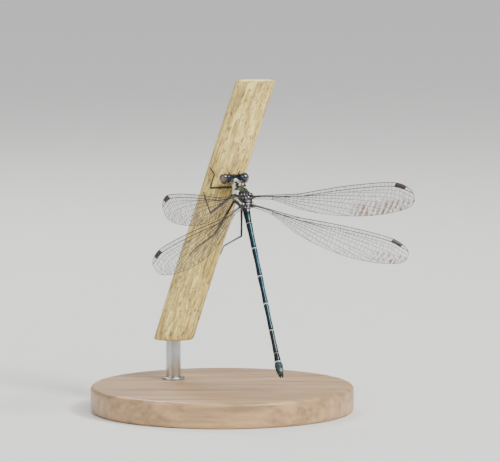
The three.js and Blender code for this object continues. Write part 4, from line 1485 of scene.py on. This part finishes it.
def leg_shapes(hip, knee, ankle, toe):
    """A leg's solid lengths, and the middle lines of its thigh and shin."""
    hip, knee = np.array(hip), np.array(knee)
    start = hip + hip_way(hip) * 0.26
    heel = on_stem(*ankle, 0.22)
    height, angle = np.subtract(toe, ankle)
    foot = [on_stem(ankle[0] + height * t, ankle[1] + angle * t, 0.13) for t in (0.33, 0.66, 1)]
    shapes = [ellipsoid(start, (0.24, 0.24, 0.24), 20, 14)]
    share = np.linspace(0, 1, 22)

    def limb(a, b, table, bow):
        line = a + (b - a) * share[:, None]
        line = line + np.outer(np.sin(share * math.pi) * bow, unit(np.cross(b - a, (0, 1, 0.3))))
        shapes.append(tube(line, smoothed(table, share)[:, 0], 16))
        return line

    thigh = limb(start, knee, THIGH_RADII, 0.05)
    shapes.append(ellipsoid(knee, (0.17, 0.17, 0.17), 18, 12))
    shin = limb(knee, heel, SHIN_RADII, -0.03)
    joints = [heel] + foot
    for n, (a, b) in enumerate(zip(joints, joints[1:])):
        path = [a + (b - a) * t for t in (0, 0.15, 0.5, 0.85, 1)]
        shapes.append(tube(path, FOOT_RADII * (1 - 0.08 * n), 12))
    ahead = unit(joints[-1] - joints[-2])
    aside = unit(np.cross(ahead, foot[-1] - np.array(POSE.inverted() @ Vector(stem_centre(toe[0])))))
    for way in (1, -1):
        claw = [joints[-1] + aside * way * out + ahead * along for out, along in CLAW_HOOK]
        shapes.append(tube(claw, [0.05, 0.04, 0.028, 0.01], 8))
    return shapes, thigh, shin


def bristles_along(line, radius, spacing):
    """The feet and directions of the rows of bristles along a length of leg."""
    bristles = []
    length = np.linalg.norm(line[-1] - line[0])
    along = (line[-1] - line[0]) / length
    first = unit(np.cross(along, (0, 0, 1)))
    second = np.cross(along, first)
    for row, angle in enumerate(BRISTLE_ANGLES):
        out = first * math.cos(math.radians(angle)) + second * math.sin(math.radians(angle))
        for distance in np.arange(0.35 + 0.09 * row, length - 0.15, spacing):
            place = line[0] + along * distance + out * radius * 0.8
            bristles.append((place, unit(out * 0.8 + along * BRISTLE_LEAN)))
    return bristles


class MakeLegs(bpy.types.Operator):
    """Makes the six legs with their claws, and the bristles along them"""

    bl_idname = "damselfly.make_legs"
    bl_label = "Make legs"

    def execute(self, context):
        settings = context.scene.damselfly_legs
        black = plain_chitin_material("leg_black", settings.colour, shaded(settings.colour, 2.2), 0.34)
        tree = bristle_tree()
        turn = np.array(POSE.to_3x3())
        sizes = {"Length": settings.bristle * MM, "Width": BRISTLE_RADIUS * MM, "Seed": BRISTLE_SIZE_SEED}
        for label, places in LEGS.items():
            name = f"leg_{label}"
            shapes, thigh, shin = leg_shapes(*places)
            rows = bristles_along(thigh, THIGH_ROW_RADIUS, settings.spacing)
            rows += bristles_along(shin, SHIN_ROW_RADIUS, settings.spacing)
            leg = new_mesh(name, join(shapes), POSE)
            add_piece(name, leg, [black], "leg", f"{name}_thigh", f"{name}_shin")
            feet, ways = (np.array(part) for part in zip(*rows))
            draft = new_mesh(f"{name}_bristles", (feet, []), POSE)
            put_attribute(draft, "direction", "FLOAT_VECTOR", ways @ turn.T)
            bristles = grown_mesh(f"{name}_bristles", draft, tree, {**sizes, "Material": black})
            add_piece(f"{name}_bristles", bristles, [], "leg")
        return {"FINISHED"}


def stem_rings(rng):
    """The stem's rings from its foot to its top, and each point's place for the pattern on it."""
    turn = np.arange(STEM_SIDES) * 2 * math.pi / STEM_SIDES
    waves = []
    for n in (5, 9, 14, 23, 31, 44, 58):
        waves.append((n, rng.uniform(0, 6.28), rng.uniform(-0.012, 0.012), rng.uniform(0.3, 1)))
    ends = [(0.35, 0.3), (0.35, 0.72), (0.0, 0.86), (0.03, 0.93), (0.12, 0.975), (0.3, 0.99)]
    heights = [(STEM_FOOT + d, size) for d, size in ends]
    heights += [(z, 1) for z in np.linspace(STEM_FOOT + 0.6, STEM_TOP - 0.6, STEM_ROWS)]
    heights += [(STEM_TOP - d, size) for d, size in reversed(ends)]
    rings, places = [], []
    for z, size in heights:
        dent = np.zeros(STEM_SIDES)
        for n, phase, drift, strength in waves:
            dent += strength * np.sin(n * turn + phase + drift * n * (z - STEM_MIDDLE)) / (1 + n * 0.08)
        dent = np.clip(dent * 0.022 - 0.05, -0.2, 0.0)
        across, along = (STEM_ACROSS + dent) * size, (STEM_ALONG + dent) * size
        ring = np.column_stack([across * np.cos(turn), along * np.sin(turn), np.zeros(STEM_SIDES)])
        rings.append(ring + stem_centre(z))
        places.append(np.column_stack([turn * STEM_WRAP * size, np.full(STEM_SIDES, z)]))
    around, up = np.vstack(places + [np.array([(0, STEM_FOOT), (0, STEM_TOP)])]).T
    wrapped = [np.cos(around / STEM_WRAP) * STEM_WRAP, up, np.sin(around / STEM_WRAP) * STEM_WRAP]
    return rings, np.column_stack(wrapped)


def fibre_lines(rng, count):
    """Thin lines that lie along the stem and lift a little off it."""
    lines = []
    shares = np.linspace(0, 1, 16)
    taper = np.interp(shares, [0, 0.2, 0.8, 1], [0.01, 1, 0.9, 0.01])
    for _ in range(count):
        angle, low = rng.uniform(0, 360), rng.uniform(STEM_FOOT + 1, STEM_TOP - 9)
        long = rng.uniform(4, min(16, STEM_TOP - 1 - low))
        lifts = 0.05 * np.sin(np.linspace(0, math.pi, 16)) * rng.uniform(0.2, 1) - 0.06
        drift = rng.uniform(-0.5, 0.5)
        path = []
        for z, lift, share in zip(np.linspace(low, low + long, 16), lifts, shares):
            a = math.radians(angle + drift * share * 6)
            place = ((STEM_ACROSS + lift) * math.sin(a), -(STEM_ALONG + lift) * math.cos(a), 0)
            path.append(stem_centre(z) + place)
        lines.append((path, taper * rng.uniform(0.03, 0.06)))
    return lines


class MakeStem(bpy.types.Operator):
    """Makes the dry stem with its ribs, cut ends and raised fibres"""

    bl_idname = "damselfly.make_stem"
    bl_label = "Make stem"

    def execute(self, context):
        settings = context.scene.damselfly_stand
        rng = np.random.default_rng(STEM_SEED)
        rings, places = stem_rings(rng)
        mesh = new_mesh("perch_stem_skin", loft(rings))
        put_attribute(mesh, "stem_place", "FLOAT_VECTOR", places)
        pith = np.zeros(len(mesh.polygons), int)
        pith[: 2 * STEM_SIDES] = 1
        pith[(len(rings) - 3) * STEM_SIDES :] = 1
        mesh.polygons.foreach_set("material_index", pith)
        materials = [stem_material("dry_stem", settings.stem), pith_material("stem_pith", settings.stem)]
        add_piece("perch_stem_skin", mesh, materials, "stem", "perch_stem")
        draft = line_mesh("stem_fibres", fibre_lines(rng, settings.fibres), Matrix.Identity(4))
        light, dark = shaded(settings.stem, 1.15), shaded(settings.stem, 0.6)
        straw = plain_chitin_material("fibre_straw", light, dark, 0.8, 2500)
        values = {"Scale": 1.0, "Sides": 5, "Material": straw}
        add_piece("stem_fibres", grown_mesh("stem_fibres", draft, strand_tree(), values), [], "stem")
        return {"FINISHED"}


def turned(profile, sides):
    """A closed shape from a (radius, height) profile turned about Z."""
    return loft([circle(sides) * r + (0, 0, z) for r, z in profile])


def eased(radius, low, high, bevel, inner=0.02):
    """A turned profile of a disc or rod with rounded edges."""
    arc = np.linspace(0, math.pi / 2, 6)
    straight = radius - bevel
    profile = [(inner, low), (radius * 0.6, low)]
    profile += [(straight + bevel * math.sin(a), low + bevel - bevel * math.cos(a)) for a in arc]
    profile += [(straight + bevel * math.cos(a), high - bevel + bevel * math.sin(a)) for a in arc]
    return profile + [(radius * 0.6, high), (inner, high)]


class MakeStand(bpy.types.Operator):
    """Makes the turned wooden base and the steel rod"""

    bl_idname = "damselfly.make_stand"
    bl_label = "Make stand"

    def execute(self, context):
        settings = context.scene.damselfly_stand
        wood = wood_material("light_wood", settings.wood)
        steel = steel_material("brushed_rod", settings.steel)
        base = turned(eased(BASE_RADIUS, 0, BASE_HEIGHT, BASE_BEVEL), 128)
        add_piece("stand_base_wood", new_mesh("stand_base_wood", base), [wood], "stand_wood", "stand_base")
        foot = stem_centre(STEM_FOOT)
        rod = turned(eased(ROD_RADIUS, BASE_HEIGHT - 0.4, STEM_FOOT + 0.5, ROD_BEVEL), 48)
        collar = turned(eased(COLLAR_RADIUS, BASE_HEIGHT - 0.1, BASE_HEIGHT + 0.5, COLLAR_BEVEL), 64)
        mesh = new_mesh("stand_rod_steel", join([rod, collar]), Matrix.Translation((foot[0], foot[1], 0)))
        add_piece("stand_rod_steel", mesh, [steel], "stand_metal", "stand_rod")
        return {"FINISHED"}


def add_lamps(strength):
    focus = LAMP_FOCUS * MM
    for name, place, size, share in LAMPS:
        data = bpy.data.lights.new(name, "AREA")
        data.shape = "SQUARE"
        data.size = size
        data.energy = strength * share
        lamp = added_object(name, data)
        lamp.location = place
        lamp.rotation_euler = (focus - Vector(place)).to_track_quat("-Z", "Y").to_euler()
    data = bpy.data.lights.new("sky", "SUN")
    data.angle = SKY_ANGLE
    data.energy = SKY_STRENGTH
    added_object("sky", data).rotation_euler = SKY_TURN


def photo_camera():
    """A camera with a long lens, where the photo was taken from."""
    data = bpy.data.cameras.new("photo_view")
    data.sensor_width = SENSOR_WIDTH
    data.lens = PIXELS_PER_MM * VIEW_DISTANCE * SENSOR_WIDTH / PICTURE_WIDTH
    data.clip_start = 0.01
    data.clip_end = 20
    camera = added_object("photo_view", data)
    up = Vector((0, math.sin(VIEW_HEIGHT_ANGLE), math.cos(VIEW_HEIGHT_ANGLE)))
    towards = Vector((0, -math.cos(VIEW_HEIGHT_ANGLE), math.sin(VIEW_HEIGHT_ANGLE)))
    aside = (PICTURE_WIDTH / 2 - BODY_PIXEL_X) / PIXELS_PER_MM
    below = (PICTURE_HEIGHT / 2 - BODY_PIXEL_Y) / PIXELS_PER_MM
    centre = BODY_PLACE + Vector((1, 0, 0)) * aside - up * below
    camera.location = (centre + towards * VIEW_DISTANCE) * MM
    camera.rotation_euler = (math.pi / 2 - VIEW_HEIGHT_ANGLE, 0, 0)
    return camera


class MakeStage(bpy.types.Operator):
    """Makes the floor, lamps and camera"""

    bl_idname = "damselfly.make_stage"
    bl_label = "Make stage"

    def execute(self, context):
        settings = context.scene.damselfly_stage
        pale = floor_material("pale_floor", settings.floor)
        disc = (circle(96) * FLOOR_RADIUS, [tuple(range(96))])
        floor = new_piece("floor", new_mesh("floor", disc), [pale])
        add_lamps(settings.light)
        world = bpy.data.worlds.new("studio")
        world.use_nodes = True
        background = world.node_tree.nodes["Background"].inputs
        background["Color"].default_value = AIR_COLOUR
        background["Strength"].default_value = AIR_STRENGTH
        context.scene.world = world
        context.scene.camera = photo_camera()
        return {"FINISHED"}


MAKERS = (MakeBody, MakeEyes, MakeWings, MakeLegs, MakeStem, MakeStand, MakeStage)


class DamselflyPanel(bpy.types.Panel):
    bl_idname = "VIEW3D_PT_damselfly"
    bl_label = "Damselfly"
    bl_space_type = "VIEW_3D"
    bl_region_type = "UI"
    bl_category = "Damselfly"

    def draw(self, context):
        for maker in MAKERS:
            self.layout.operator(maker.bl_idname)
        for group in GROUPS:
            box = self.layout.box()
            settings = getattr(context.scene, group)
            for name in settings.__annotations__:
                box.prop(settings, name)


GROUPS = {
    "damselfly_body": BodySettings,
    "damselfly_wings": WingSettings,
    "damselfly_legs": LegSettings,
    "damselfly_stand": StandSettings,
    "damselfly_stage": StageSettings,
}
CLASSES = (*GROUPS.values(), *MAKERS, DamselflyPanel)


def register():
    for item in CLASSES:
        bpy.utils.register_class(item)
    for name, group in GROUPS.items():
        setattr(bpy.types.Scene, name, PointerProperty(type=group))


def unregister():
    for name in GROUPS:
        delattr(bpy.types.Scene, name)
    for item in reversed(CLASSES):
        bpy.utils.unregister_class(item)


def main():
    register()
    bpy.ops.damselfly.make_body()
    bpy.ops.damselfly.make_eyes()
    bpy.ops.damselfly.make_wings()
    bpy.ops.damselfly.make_legs()
    bpy.ops.damselfly.make_stem()
    bpy.ops.damselfly.make_stand()
    bpy.ops.damselfly.make_stage()


if __name__ == "__main__":
    main()
